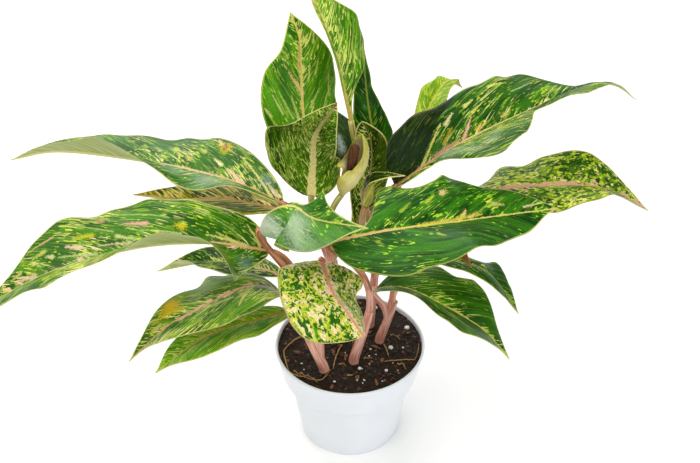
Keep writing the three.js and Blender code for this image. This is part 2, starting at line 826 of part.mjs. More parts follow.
// The spike's narrow foot sits against the hood's inner face; the rest stands free
function buildSpike() {
  const curve = new THREE.LineCurve3(new THREE.Vector3(...spikeFoot), new THREE.Vector3(...spikeTip));
  const swell = (t) => {
    const body = spikeFootRadius + (spikeRadius - spikeFootRadius) * Math.min(1, t * 1.9);
    return body * Math.min(1, 0.2 + (1 - t) * 7);
  };
  addPart('spadix', roundTube(curve, 12, 10, swell), spadixColour, 0.7);
}

function buildBud() {
  const curve = smoothCurve([budFoot, budTip]);
  const swell = (t) => budRadius * (0.25 + 0.75 * Math.sin(Math.PI * t ** 0.8));
  addPart('flower_bud', roundTube(curve, 10, 9, swell), budColour, 0.5);
}

// A flower stalk from a shoot up to the foot of a flower, stopping just short of it
function flowerStalk(shootName, from, course) {
  const shoot = shoots.find((s) => s.name === shootName);
  const start = axisPointAt(shoot, from);
  const rib = smoothCurve(course);
  const direction = rib.getTangentAt(0);
  const end = rib.getPointAt(0).addScaledVector(direction, -flowerStalkGap);
  const reach = start.distanceTo(end);
  const first = start.clone().add(new THREE.Vector3(0, 0, 0.4 * reach));
  const second = end.clone().addScaledVector(direction, -0.3 * reach);
  const curve = new THREE.CubicBezierCurve3(start, first, second, end);
  return roundTube(curve, 8, petioleSides, () => flowerStalkRadius);
}

buildPot();
buildSoil(shoots);
for (const shoot of shoots) {
  const extras = [];
  if (shoot.name === 'shoot_centre') {
    extras.push(flowerStalk('shoot_centre', 140, hood.rib));
  }
  if (shoot.name === 'shoot_back') {
    extras.push(flowerStalk('shoot_back', 130, [budFoot, budTip]));
  }
  buildShoot(shoot, extras);
}
for (const leaf of leaves) {
  buildLeaf(leaf);
}
buildHood();
buildSpike();
buildBud();

export default group;
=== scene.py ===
# Potted chinese evergreen in a thin white nursery pot.
# Shapes are worked out in millimetres and turned to metres as each mesh is made.
import math
import random
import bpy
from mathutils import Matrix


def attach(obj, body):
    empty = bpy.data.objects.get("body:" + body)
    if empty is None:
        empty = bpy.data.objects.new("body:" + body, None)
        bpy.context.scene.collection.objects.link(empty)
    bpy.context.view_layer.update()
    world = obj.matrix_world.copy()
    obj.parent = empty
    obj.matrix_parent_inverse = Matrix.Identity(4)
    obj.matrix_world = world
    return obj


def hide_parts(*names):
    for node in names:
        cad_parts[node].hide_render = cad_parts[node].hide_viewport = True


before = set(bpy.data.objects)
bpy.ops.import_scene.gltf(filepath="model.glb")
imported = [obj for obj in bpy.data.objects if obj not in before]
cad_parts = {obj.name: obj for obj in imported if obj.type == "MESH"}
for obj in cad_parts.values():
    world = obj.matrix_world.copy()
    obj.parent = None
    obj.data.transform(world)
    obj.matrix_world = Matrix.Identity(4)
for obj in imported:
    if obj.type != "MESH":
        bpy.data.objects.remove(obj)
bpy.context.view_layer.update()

from types import SimpleNamespace

import bmesh
import bpy
import numpy as np
from mathutils import Vector, noise

mm = 0.001  # one millimetre in metres
smooth = {"interpolation_type": "SMOOTHSTEP"}  # a Map Range with soft ends


def toLinear(colour):
    channels = [int(colour[i:i + 2], 16) / 255 for i in (0, 2, 4)]
    linear = [c / 12.92 if c <= 0.04045 else ((c + 0.055) / 1.055) ** 2.4 for c in channels]
    return (*linear, 1.0)


def addNode(tree, kind, inputs=None, **settings):
    # inputs map a socket's name or number to a value, a hex colour, a socket,
    # or a node, whose first live output is used
    node = tree.nodes.new("ShaderNode" + kind)
    for name, value in settings.items():
        setattr(node, name, value)
    for key, value in (inputs or {}).items():
        if isinstance(value, bpy.types.Node):
            value = next(output for output in value.outputs if output.enabled)
        elif isinstance(value, str):
            value = toLinear(value)
        if isinstance(value, bpy.types.NodeSocket):
            tree.links.new(value, node.inputs[key])
        else:
            node.inputs[key].default_value = value
    return node


def newMaterial(name):
    material = bpy.data.materials.new(name)
    material.use_nodes = True
    material.node_tree.nodes.clear()
    return material, material.node_tree


def finishMaterial(tree, colour, roughness, height=None, depth=0.2, specular=0.5):
    # depth is the height of the bumps in millimetres
    sockets = {"Base Color": colour, "Roughness": roughness, "Specular IOR Level": specular}
    if height is not None:
        sockets["Normal"] = addNode(tree, "Bump", {"Height": height, "Distance": depth * mm, "Strength": 1.0})
    shader = addNode(tree, "BsdfPrincipled", sockets)
    addNode(tree, "OutputMaterial", {"Surface": shader})


def grainyMaterial(name, dark, light, roughness, scale=900.0, full=0.65):
    # Two tones in a fine lumpy grain, all light where the noise reaches full; 900 is about 1 mm
    material, tree = newMaterial(name)
    where = addNode(tree, "TexCoord")
    grain = addNode(tree, "TexNoise", {"Vector": where.outputs["Object"], "Scale": scale, "Detail": 3.0})
    share = addNode(tree, "MapRange", {0: grain, 1: 0.35, 2: full})
    colour = addNode(tree, "Mix", {0: share, 6: dark, 7: light}, data_type="RGBA")
    finishMaterial(tree, colour, roughness, height=grain, depth=0.3, specular=0.3)
    return material


def finishPiece(name, mesh, materials, node):
    for material in materials:
        mesh.materials.append(material)
    piece = bpy.data.objects.new(name, mesh)
    bpy.context.scene.collection.objects.link(piece)
    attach(piece, "root")
    if node:
        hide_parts(node)
    return piece


def meshFrom(bm, name):
    for face in bm.faces:
        face.smooth = True
    mesh = bpy.data.meshes.new(name)
    bm.to_mesh(mesh)
    bm.free()
    return mesh


def addSkin(bm, points, marks=None, materialAt=None):
    # A flat grid whose corners move to the points, one row of points for each row of the grid.
    # marks are values kept at each corner for the material to read.
    rows, columns = points.shape[0] - 1, points.shape[1] - 1
    kept = bm.verts.layers.float
    layers = {mark: kept.get(mark) or kept.new(mark) for mark in marks or {}}
    made = bmesh.ops.create_grid(bm, x_segments=columns, y_segments=rows, size=1)["verts"]
    if materialAt:
        for face in {face for vert in made for face in vert.link_faces}:
            face.material_index = materialAt((face.calc_center_median().x + 1) / 2)
    for vert in made:
        i = round((vert.co.y + 1) / 2 * rows)
        j = round((vert.co.x + 1) / 2 * columns)
        for mark, layer in layers.items():
            vert[layer] = marks[mark][i, j]
        vert.co = Vector(points[i, j]) * mm
    bmesh.ops.remove_doubles(bm, verts=made, dist=1e-8)
    made = [vert for vert in made if vert.is_valid]
    rim = {edge for vert in made for edge in vert.link_edges if edge.is_boundary}
    bmesh.ops.holes_fill(bm, edges=list(rim), sides=0)


# Camera, lights and floor

camera = {"place": (0, -0.538, 0.562), "below": 35.35, "lens": 50}
lights = {
    "key": {"place": (-0.6, -0.35, 1.5), "size": 1.7, "watts": 24, "colour": "FFFCF6"},
    "fill": {"place": (0.9, -0.9, 0.9), "size": 1.2, "watts": 8, "colour": "FBFDFF"},
    "back": {"place": (-0.35, 1.15, 1.15), "size": 1.3, "watts": 14, "colour": "FFFFFF"},
}
studio = {"aim": (0, 0, 0.2), "sky": 0.40, "skyColour": "FFFFFF", "floorSize": 8, "floorColour": "FCFCFC"}


def buildStudio():
    scene = bpy.context.scene
    scene.view_settings.view_transform = "Standard"
    view = bpy.data.objects.new("camera", bpy.data.cameras.new("camera"))
    view.location = camera["place"]
    view.rotation_euler = (math.radians(90 - camera["below"]), 0, 0)
    view.data.lens = camera["lens"]
    view.data.sensor_width = 36
    scene.collection.objects.link(view)
    scene.camera = view

    for name, light in lights.items():
        lamp = bpy.data.lights.new(name, "AREA")
        lamp.size = light["size"]
        lamp.energy = light["watts"]
        lamp.color = toLinear(light["colour"])[:3]
        holder = bpy.data.objects.new(name, lamp)
        holder.location = light["place"]
        aim = Vector(studio["aim"]) - holder.location
        holder.rotation_euler = aim.to_track_quat("-Z", "Y").to_euler()
        scene.collection.objects.link(holder)

    world = bpy.data.worlds.new("studio")
    world.use_nodes = True
    world.node_tree.nodes.clear()
    sky = addNode(world.node_tree, "Background", {"Color": studio["skyColour"], "Strength": studio["sky"]})
    addNode(world.node_tree, "OutputWorld", {"Surface": sky})
    scene.world = world

    bm = bmesh.new()
    bmesh.ops.create_grid(bm, x_segments=1, y_segments=1, size=studio["floorSize"] / 2)
    floor = bpy.data.objects.new("floor", meshFrom(bm, "floor"))
    material, tree = newMaterial("matt white paper")
    finishMaterial(tree, studio["floorColour"], 0.9, specular=0.1)
    floor.data.materials.append(material)
    scene.collection.objects.link(floor)


buildStudio()
print("studio ready")


# Curves

spanSteps = 40  # fine steps between two points of a smooth run


def between(a, b, c, d, u):
    # From b to c as u goes from 0 to 1, smooth with the points before and after
    bend, twist = 2 * a - 5 * b + 4 * c - d, 3 * b - a - 3 * c + d
    return 0.5 * (2 * b + (c - a) * u + bend * u * u + twist * u ** 3)


def smoothRun(points, steps):
    # Evenly spaced centres and directions on a smooth curve through the points
    p = np.array(points, float)
    p = np.vstack([2 * p[0] - p[1], p, 2 * p[-1] - p[-2]])
    fine = []
    for k in range(1, len(p) - 2):
        fine += [between(*p[k - 1:k + 3], u) for u in np.linspace(0, 1, spanSteps, endpoint=False)]
    fine.append(p[-2])
    return evenRun(np.array(fine), steps)


def evenRun(fine, steps):
    run = np.concatenate([[0], np.cumsum(np.linalg.norm(np.diff(fine, axis=0), axis=1))])
    at = np.linspace(0, run[-1], steps + 1)
    centres = np.stack([np.interp(at, run, fine[:, i]) for i in range(3)], axis=1)
    along = np.gradient(centres, axis=0)
    return centres, along / np.linalg.norm(along, axis=1, keepdims=True), run[-1]


def alongStations(values, t):
    # The value at t of a smooth run through evenly spaced stations
    v = [values[0], *values, values[-1]]
    place = t * (len(values) - 1)
    k = min(int(place), len(values) - 2)
    return between(*v[k:k + 4], place - k)


# Leaf blades: shapes as in the solids, in millimetres and degrees.
# rib runs from base to tip, bearing is the axis from +X, half is the width left and right of the rib,
# left and right are how far each half rises from level at even stations from base to tip, and
# leftWidths and rightWidths are the outline's shares of half at such stations.
# more is how much thicker flecks lie on the right and the left, tints are changes to the look,
# streaks are marks placed one by one, pale patches of painted sheen stand in for gloss, and a near black
# patch of painted shade darkens a part in shadow.

blade = {
    "rows": 104, "halfColumns": 20, "crowding": 1.2, "thickness": 0.7, "marginThickness": 0.25,
    "baseHalf": 1.6, "baseFade": 0.7, "arch": 25,
    "wave": 2.5, "waveGrowth": 1.5, "waves": 3, "rightPhase": 0.37,
    "ribRelief": 1.3, "ribWidth": 1.9, "ribGroove": 0.35, "ribTaper": 0.85,
    "veinSpacing": 9, "veinSlant": 1.1, "veinCurve": 0.028,
    "quilt": 0.32, "quiltFromRib": 5, "quiltFromMargin": 4,
    "ripple": 0.7, "rippleLength": 26, "rippleReach": 30, "marginRun": 6, "edgeRound": 0.6,
}

leaves = {
    "leaf_left_high": {
        "rib": [(-45, 2, 202), (-84, 18, 211), (-137, 32, 216), (-199, 39, 220), (-236, 41, 212)],
        "bearing": 168, "half": (31, 31), "belly": 0.42, "tip": 1.15,
        "left": (30, 25, -5, 35, 62, 55, 45), "right": (40, 30, 15, 0, 5, 5, 10),
        "leftWidths": (0.9, 0.8, 0.75, 0.6, 0.6, 1, 0.8, 0.95, 1.1),
        "rightWidths": (1.1, 1.05, 1.1, 1, 1.1, 0.97, 1.05, 1.15, 1.2),
        "look": "green",
        "more": (-0.015, -0.01), "tints": {"gloss": 0.19, "deep": "174A08", "fresh": "3A7410"},
        "streaks": [
            (53, -24, 56, -25, 5.6, "CDB820", 0.95), (56, -26, 59, -29, 2.2, "D8C97A", 0.8),
            (54, -24, 54, -24, 3.6, "7A4A1E", 0.95), (54, -24, 54, -24, 1.5, "B89A78", 0.7),
            (32, -1, 44, -7, 2.3, "E0BC98", 0.95), (50, -9, 56, -12, 1.6, "E6D9A6", 0.95),
            (9, -1, 40, -19, 1.3, "D6CE7E", 0.9), (4, -3, 16, -8, 1.7, "DCC694", 0.85),
            (73, -9, 75, -10, 2.6, "C6B45C", 0.8), (73, -9, 73, -9, 1.0, "A8742E", 0.7),
            (84, -16, 87, -18, 2.2, "C0C058", 0.8), (65, -17, 67, -18, 2.3, "B8C060", 0.8),
            (95, -13, 100, -16, 1.6, "B4BC62", 0.7), (42, 2, 50, -3, 2.2, "B0B82C", 0.8),
            (12, -12, 22, -19, 1.3, "CCD070", 0.8),
        ],
        "paintedSheen": [
            (52, 8, 36, 10, 9.0, "A6B596", 0.5), (78, 6, 92, 2, 6.0, "8FA588", 0.4),
            (17, -10, 13, -8, 4.5, "8CA0A0", 0.45),
        ],
    },
    "leaf_left_middle": {
        "rib": [(-46, 18, 186), (-70, 26, 186), (-95, 34, 185), (-121, 40, 180), (-156, 46, 180)],
        "bearing": 166, "half": (23, 23),
        "left": (10, 10, 15, 30, 30), "right": (-10, -8, 0, 15, 30),
        "look": "gilded",
    },
    "leaf_left_long": {
        "rib": [(-53, -28, 185), (-91, -44, 203), (-135, -56, 207), (-187, -68, 196), (-230, -74, 173)],
        "bearing": 192, "half": (37, 37), "belly": 0.45, "tip": 0.95, "base": 0.6,
        "left": (-20, -25, 35, 50, 32, 25, 20, 15, 10), "right": (45, 35, 30, 20, 15, 30, 32, 20, 10),
        "leftWidths": (
            0.7, 0.8, 0.95, 1.25, 0.85, 0.65, 0.65, 0.65, 1, 0.7, 0.65, 1.2,
            1.1, 0.95, 1.15, 1.4, 1.6,
        ),
        "rightWidths": (
            1.25, 1.15, 1, 0.9, 0.9, 0.9, 0.95, 1, 0.95, 0.82, 0.95, 1,
            0.95, 0.85, 0.77, 0.8, 1.1,
        ),
        "look": "green",
        "more": (0.01, 0.02),
        "streaks": [
            (80, -16, 93, -20, 2.4, "D0A086", 0.9), (106, -25, 109, -25, 2.4, "B89062", 0.8),
            (107, -25, 107, -25, 1.0, "8A5C34", 0.6), (59, -11, 62, -12, 3.6, "C4B81C", 0.9),
            (121, -9, 128, -12, 2.2, "DCC09C", 0.95), (113, -15, 123, -16, 2.4, "B8C01C", 0.85),
            (138, -9, 141, -10, 2.0, "CFCF84", 0.8), (135, -21, 153, -18, 0.9, "CDA878", 0.8),
            (152, -2, 165, -3, 1.8, "D8B89A", 0.9), (112, -2, 134, -7, 1.4, "C6CB86", 0.75),
            (98, -11, 84, -4, 1.7, "C9CE7C", 0.75), (17, -1, 44, -5, 1.5, "D6CC78", 0.85),
            (24, -2, 38, -7, 1.1, "D0CC62", 0.8), (7, -2, 17, -15, 1.4, "CFC66C", 0.8),
            (90, -4, 110, -7, 1.2, "C8B890", 0.8), (60, -6, 84, -12, 1.0, "BFC878", 0.7),
            (100, -15, 120, -24, 0.9, "A9BC6C", 0.7), (66, -18, 96, -30, 0.8, "A2BC70", 0.6),
            (142, -14, 150, -12, 1.8, "C2C45A", 0.8), (160, -8, 168, -6, 1.6, "C8C070", 0.8),
        ],
        "paintedSheen": [(20, 13, 15, 9, 6.0, "7E9890", 0.45), (120, 2, 160, 2, 4.0, "B9B9A0", 0.4)],
    },
    "leaf_left_small": {
        "rib": [(-49, 12, 133), (-67, 22, 133), (-88, 32, 130), (-112, 42, 122), (-148, 52, 106)],
        "bearing": 158, "half": (19, 19),
        "left": (10, 10, 20, 50, 60), "right": (-10, -15, 0, 30, 40),
        "look": "green",
        "more": (-0.015, -0.015),
        # the darker greens in these tints are painted shade, for a leaf low in the plant under the other
        # leaves
        "tints": {"deep": "0E3400", "fresh": "295A02", "gloss": 0.08, "rib": "A9B060"},
    },
    "leaf_left_low": {
        "rib": [(-47, -25, 148), (-66, -36, 162), (-100, -54, 156), (-120, -62, 147), (-144, -70, 126)],
        "bearing": 205, "half": (33, 33),
        "left": (20, 12, 10, 22, 30), "right": (0, -20, -12, 8, 25),
        "leftWidths": (0.8, 0.94, 0.98, 0.98, 0.94, 0.9, 0.98, 0.6, 0.6),
        "rightWidths": (1.5, 1, 1.1, 1.2, 0.92, 0.92, 0.92, 0.8, 0.95),
        "look": "green",
        "more": (0.015, 0.02),
        "tints": {
            "deep": "245604", "fresh": "5E9616", "gloss": 0.1, "lines": 0.2,
            "rib": "D8A080", "ribFoot": "CC8C72", "haloTint": "DDB892", "halo": 3.2,
        },
        "streaks": [
            (79, -14, 85, -9, 7.5, "CFA60E", 0.9), (74, -7, 94, -9, 3.2, "C2B028", 0.75),
            (34, 12, 42, 22, 1.7, "D2CE7E", 0.85), (42, 9, 59, 6, 1.4, "CFC98A", 0.8),
            (29, 8, 41, 13, 1.5, "C9C66C", 0.8), (38, -8, 50, -12, 1.4, "BEC45C", 0.75),
            (56, 5, 72, 12, 1.3, "C6CC70", 0.75), (20, -10, 34, -18, 1.3, "B8C058", 0.7),
            (60, -16, 70, -18, 1.6, "B4BE3C", 0.75), (90, -4, 100, -5, 1.3, "C8B868", 0.8),
        ],
        "paintedSheen": [(48, -21, 62, -14, 8.0, "A3AE92", 0.5), (30, -28, 20, -26, 6.0, "98A880", 0.4)],
    },
    "leaf_left_lowest": {
        "rib": [(-42, -30, 135), (-59, -38, 135), (-83, -50, 136), (-102, -58, 131), (-129, -66, 112)],
        "bearing": 202, "half": (27, 27),
        "left": (20, 20, 18, 18, 20), "right": (10, 0, 0, 8, 20),
        "leftWidths": (1.25, 0.9, 0.84, 0.98, 0.95, 1.15, 1.05, 0.76, 0.75),
        "rightWidths": (0.7, 0.6, 0.55, 0.5, 0.54, 0.65, 0.98, 1.3, 1.4),
        "look": "bright",
        "more": (0.03, 0.04), "tints": {"deep": "449000", "fresh": "8CCA16", "gloss": 0.08, "lines": 0.25},
        "streaks": [
            (29, -5, 51, -7, 1.3, "BCCB4C", 0.8), (44, 6, 63, 2, 1.2, "B8C84A", 0.8),
            (18, -4, 34, -12, 1.0, "B4C450", 0.7), (58, -5, 76, -9, 1.1, "B6C63E", 0.75),
        ],
    },
    "leaf_front_hanging": {
        "rib": [(-18, -38, 184), (-16, -56, 190), (-10, -78, 190), (-2, -96, 190), (8, -110, 183)],
        "bearing": 285, "half": (32, 32), "belly": 0.6, "tip": 0.5, "base": 0.5,
        "left": (-20, -42, -58, -55, -50), "right": (4, 5, 5, 5, 5),
        "leftWidths": (1.7, 1.45, 1.08, 1, 1.15, 1, 0.72, 0.55, 0.3),
        "rightWidths": (1.6, 1.35, 1.15, 1.05, 1.02, 1.06, 1.18, 1.18, 0.9),
        "look": "mottled",
    },
    "leaf_front_folded": {
        "rib": [
            (-57, -44, 212), (-52, -46, 225), (-43, -50, 234),
            (-33, -54, 237), (-20, -60, 232), (11, -64, 228),
        ],
        "bearing": 0, "half": (24, 27),
        "left": (-45, -45, -42, -25, 55, 75, 62, 35, 10), "right": (-35, -40, -50, -52, -45, -20, 0),
        "leftWidths": (1, 1, 1, 0.95, 0.8, 0.5, 0.2, 0.1, 0.15, 0.6, 0.95, 0.68, 0.5, 0.4, 0.36, 0.38, 0.5),
        "look": "deep",
        "more": (-0.04, -0.03), "tints": {"deep": "1E560C", "fresh": "4A8826", "gloss": 0.2, "lines": 0.2},
        "paintedSheen": [
            (7, -2, 24, -16, 9.0, "D6DCCA", 0.85), (4, -10, 14, -18, 6.0, "B8C4A8", 0.7),
            (46, -8, 52, -20, 7.0, "BCCCAC", 0.7), (56, -16, 66, -14, 5.0, "86AC6C", 0.5),
        ],
        "streaks": [
            (18, -4, 30, -16, 0.7, "C9D0BC", 0.6), (10, -5, 22, -18, 0.7, "C4CCB4", 0.55),
            (24, -5, 36, -14, 0.7, "C4CEB0", 0.5),
        ],
    },
    "leaf_right_broad": {
        "rib": [(-12, -58, 214), (25, -50, 217), (63, -38, 214), (102, -26, 212), (135, -16, 210)],
        "bearing": 10, "half": (38, 38), "belly": 0.4, "base": 0.6,
        "left": (10, 18, 14, 26, 10, 15, 20), "right": (-45, -30, -10, 10, 0, -22, -20),
        "leftWidths": (
            0.1, 0.1, 0.13, 0.38, 0.92, 0.95, 0.8, 0.76, 0.86, 1.12, 1.24, 1.16,
            1.2, 1.35, 1.6, 1.8, 2,
        ),
        "rightWidths": (1.15, 0.96, 0.98, 0.94, 1.05, 1.08, 0.93, 1.05, 0.5),
        "look": "deep",
        "more": (-0.055, -0.005),
        "streaks": [
            (82, -1, 90, 7, 2.0, "CFC050", 0.9), (88, 4, 90, 7, 1.6, "DDB47A", 0.9),
            (78, 21, 81, 22, 2.6, "D2C27C", 0.9), (34, 21, 37, 23, 1.6, "B9C44A", 0.85),
            (64, -13, 67, -17, 1.5, "A8B84A", 0.8),
            (111, 10, 117, 8, 2.4, "C0B468", 0.85), (130, 4, 147, 6, 1.0, "D2C690", 0.9),
            (60, -11, 61, -12, 1.4, "A6B64C", 0.8), (28, -7, 30, -9, 1.4, "9AAA44", 0.8),
            (56, 0, 100, 3, 1.9, "CFBE4C", 0.85), (92, 2, 98, 5, 1.6, "D6BC5C", 0.85),
            (66, 16, 72, 20, 1.8, "A9C02C", 0.8), (48, 12, 56, 18, 1.6, "98B82C", 0.75),
        ],
    },
    "leaf_right_high": {
        "rib": [(30, 4, 214), (70, 24, 233), (115, 44, 246), (160, 58, 260), (181, 62, 259), (198, 64, 247)],
        "bearing": 16, "half": (39, 39), "base": 0.38,
        "left": (72, 60, 25, 20, 0, -15, -10), "right": (10, 15, 15, 25, 30, 25, 20),
        "leftWidths": (1.2, 1.15, 1, 0.92, 0.8, 0.85, 0.9, 0.95, 1.02, 1.2, 1.3, 1, 0.3, 0.3, 0.4, 0.8, 0.6),
        "rightWidths": (0.2, 0.2, 0.2, 0.3, 1, 1.15, 1.1, 1, 0.78, 0.4, 0.9, 1.5, 1.5, 1.5, 0.9, 0.5, 0.3),
        "look": "green",
        "more": (-0.005, -0.025), "tints": {"deep": "124008", "fresh": "2E6608", "gloss": 0.08},
        # painted shade: a near black patch on the far base lobe, which lies in the shadow of the leaves above
        "paintedShade": (17, 1.5, "0A1A06", 0.88),
        "streaks": [
            (93, 31, 102, 30, 1.6, "C8CC50", 0.9), (70, 23, 77, 25, 1.6, "CACB6E", 0.9),
            (51, 16, 60, 22, 1.7, "D6C890", 0.9), (24, 2, 48, 18, 1.1, "CFC060", 0.95),
            (56, 1, 69, 13, 1.6, "D4A888", 0.95), (72, 16, 78, 19, 1.4, "C4C65C", 0.85),
            (68, 3, 76, 5, 2.0, "C9B04E", 0.85), (88, 4, 95, 6, 1.3, "CDB070", 0.85),
            (43, 5, 53, 12, 1.8, "B49A34", 0.75), (76, -15, 84, -18, 1.9, "C2C646", 0.85),
            (93, -15, 107, -8, 1.1, "CFCB86", 0.85), (61, -27, 64, -27, 1.2, "D0A894", 0.85),
            (34, 1, 52, 2, 2.4, "CC9878", 0.9), (104, 20, 124, 24, 0.9, "A4BC72", 0.7),
            (60, -8, 74, -14, 1.2, "B9C05C", 0.7), (46, -10, 60, -18, 1.0, "AEBC68", 0.65),
        ],
        "paintedSheen": [(40, -6, 52, -26, 7.0, "9DAE92", 0.55), (66, -24, 74, -20, 6.0, "93A98C", 0.45)],
    },
    "leaf_right_far": {
        "rib": [(78, 16, 199), (125, 31, 197), (177, 42, 188), (217, 48, 165)],
        "bearing": 13, "half": (32, 32),
        "left": (-20, -15, 0, 40, 30, 35), "right": (0, -5, 0, 18, 18, 20),
        "leftWidths": (0.7, 0.8, 0.75, 0.9, 1.1, 1.2, 0.9, 0.9, 0.9, 1, 1.05, 1.1, 1.15, 1.2, 1.3, 1.4, 1.4),
        "rightWidths": (1.5, 1.25, 1.02, 0.98, 1.02, 1.3, 1, 1.2, 1.5),
        "look": "gold",
    },
    "leaf_back_young": {
        "rib": [(50, 64, 223), (55, 74, 232), (62, 86, 240), (72, 96, 246), (82, 104, 236)],
        "bearing": 75, "half": (12, 14), "tip": 0.9,
        "left": (0, 0, 0, 0, 10), "right": (20, 30, 30, 10, 10),
        "leftWidths": (1.4, 0.88, 0.75, 0.8, 0.98, 0.78, 1.1, 1, 0.5),
        "rightWidths": (1.4, 1.3, 1, 0.88, 0.74, 0.6, 0.7, 0.35, 0.2),
        "look": "young",
    },
    "leaf_top_left": {
        "rib": [(-27, 36, 215), (-32, 50, 245), (-33, 60, 265), (-34, 71, 288), (-40, 78, 305)],
        "bearing": 100, "half": (31, 31),
        "left": (0, 10, 10, 15, 0), "right": (-30, -30, -25, -10, 0),
        "leftWidths": (1.2, 1.05, 0.9, 0.9, 0.95, 1, 0.86, 1.1, 1.5),
        "rightWidths": (1, 0.8, 0.9, 0.9, 0.95, 1, 1.2, 1.05, 1.2),
        "look": "bright",
        "streaks": [
            (46, 0, 60, 9, 2.3, "DCC278", 0.95), (34, 15, 45, 21, 1.0, "C8D07A", 0.85),
            (33, 23, 38, 27, 1.1, "CED27C", 0.85), (59, -10, 69, -12, 1.0, "C6CE70", 0.8),
            (55, -5, 66, -6, 1.1, "C8CE66", 0.8), (79, -9, 86, -11, 1.2, "C6CC64", 0.85),
            (44, -22, 59, -20, 1.0, "C4CC68", 0.8), (36, -6, 49, -13, 1.2, "CCD070", 0.85),
            (26, 3, 44, 8, 1.3, "C9CF6A", 0.85), (30, 8, 48, 17, 0.9, "BECC60", 0.75),
            (64, 2, 78, 1, 1.5, "DCB878", 0.9), (24, 18, 33, 24, 1.0, "C0CB5C", 0.75),
            (70, 10, 74, 12, 1.2, "C0CA60", 0.8), (28, -14, 40, -20, 1.1, "BDC95C", 0.75),
        ],
    },
    "leaf_top_tall": {
        "rib": [(1, 37, 244), (-3, 40, 262), (-7, 45, 279), (-12, 51, 294), (-18, 57, 308), (-25, 65, 326)],
        "bearing": 110, "half": (12, 29), "belly": 0.6, "tip": 0.62, "base": 0.8,
        "left": (40, 60, 70, 60, 30), "right": (0, -10, -25, -10, 0),
        "leftWidths": (0.3, 0.3, 0.4, 0.8, 1.2, 0.7, 0.5, 0.6, 0.6),
        "rightWidths": (0.1, 0.15, 0.4, 0.8, 1, 0.87, 0.95, 0.7, 0.5),
        "look": "bright",
        "more": (0.035, 0.045),
    },
    "leaf_top_back": {
        "rib": [(17, 50, 213), (15, 54, 231), (12, 60, 250), (10, 66, 267), (9, 73, 283)],
        "bearing": 100, "half": (18, 15),
        "left": (0, 0, 0, 0, 0), "right": (0, -10, -15, -10, 0),
        "leftWidths": (1.6, 1.2, 0.75, 0.6, 0.55, 0.55, 0.6, 0.6, 0.6),
        "rightWidths": (1.5, 1.4, 0.9, 0.65, 0.5, 0.3, 0.4, 0.35, 0.35),
        "look": "shade",
    },
    "leaf_centre_cupped": {
        "rib": [(-26, 8, 203), (-25, 13, 217), (-24, 15, 232), (-21, 12, 251), (-8, -3, 280)],
        "bearing": 90, "half": (32, 28), "belly": 0.5, "tip": 0.8, "base": 0.5,
        "left": (-25, 0, 0, 20, 20), "right": (10, 22, 45, 68, 72),
        "rightWidths": (1, 0.8, 0.74, 0.95, 1),
        "look": "olive",
        "streaks": [(81, 0, 88, 0, 2.2, "7A4A28", 0.95)],
    },
    "leaf_centre_curled": {
        "rib": [(3, 17, 168), (9, 22, 188), (14, 26, 214), (14, 25, 236), (8, 22, 253)],
        "bearing": 80, "half": (14, 14), "belly": 0.5, "tip": 0.7,
        "left": (-10, 0, 10, 20, 20), "right": (-20, -25, -20, 0, 10),
        "leftWidths": (0.7, 0.6, 0.75, 0.85, 0.9, 1, 1.1, 1.25, 1.5),
        "rightWidths": (0.6, 0.55, 0.75, 0.9, 0.9, 0.85, 0.95, 1.2, 1.3),
        "look": "olive",
        "more": (-0.03, -0.03),
        "tints": {
            "deep": "203400", "fresh": "486004", "rib": "8E8A50", "ribFoot": "8E8A50",
            "ribHalf": (0.7, 0.4), "halo": 0.3,
        },
    },
    "leaf_centre_pointed": {
        "rib": [(9, 6, 211), (13, 4, 220), (24, 2, 224), (36, 0, 225)],
        "bearing": 12, "half": (4, 4),
        "left": (0, 0, 0), "right": (0, 0, 0),
        "look": "olive",
        "more": (-0.05, -0.05),
        # the near black greens in these tints are painted shade, for a leaf deep in the middle of the plant
        "tints": {
            "deep": "0E2600", "fresh": "1E3800", "rib": "3E4E10", "ribFoot": "3E4E10",
            "ribHalf": (0.5, 0.3), "halo": 0.2,
        },
    },
    "leaf_centre_dark": {
        "rib": [(11, 37, 208), (3, 41, 223), (-3, 46, 236), (-11, 50, 247)],
        "bearing": 120, "half": (15, 8),
        "left": (-15, -4, 0), "right": (0, 0, 0),
        "look": "shadow",
        "paintedSheen": [(20, 9, 29, 8, 2.8, "BFCFCF", 0.8)],
    },
    "leaf_right_low": {
        "rib": [
            (18, -10, 138), (34, -18, 146), (51, -26, 145),
            (74, -36, 137), (91, -42, 127), (109, -46, 106),
        ],
        "bearing": 338, "half": (33, 33),
        "left": (10, 0, 10, 10, 5), "right": (25, 32, 26, 28, 30),
        "leftWidths": (1.1, 1.1, 0.9, 0.9, 0.95, 1, 0.9, 0.85, 0.95, 1.15, 1.22, 1.12, 1, 0.9, 0.92, 1, 1.3),
        "rightWidths": (0.85, 1.05, 0.65, 0.6, 0.85, 1.3, 0.97, 0.7, 0.4),
        "look": "bright",
        "more": (-0.045, -0.045),
        # the darker greens in these tints are painted shade, for a leaf low in the plant under the other
        # leaves
        "tints": {"deep": "184800", "fresh": "357002", "ribFoot": "BDB465", "haloTint": "B4BA4C"},
    },
    "leaf_right_small": {
        "rib": [(58, 22, 141), (79, 20, 139), (97, 16, 135), (111, 13, 119), (124, 10, 99)],
        "bearing": 350, "half": (22, 22),
        "left": (0, -18, -18, 10, 20), "right": (20, 18, 12, 10, 10),
        "leftWidths": (1.4, 1.2, 1.05, 1, 0.95, 0.75, 0.6, 0.65, 0.9, 1.2, 1.5, 1.2, 0.95, 1, 0.95, 0.8, 0.5),
        "rightWidths": (1.3, 0.92, 0.8, 0.8, 0.8, 0.94, 0.7, 1, 1.5),
        "look": "bright",
        "more": (-0.05, -0.05),
        # the darker greens in these tints are painted shade, for a leaf low in the plant under the other
        # leaves
        "tints": {
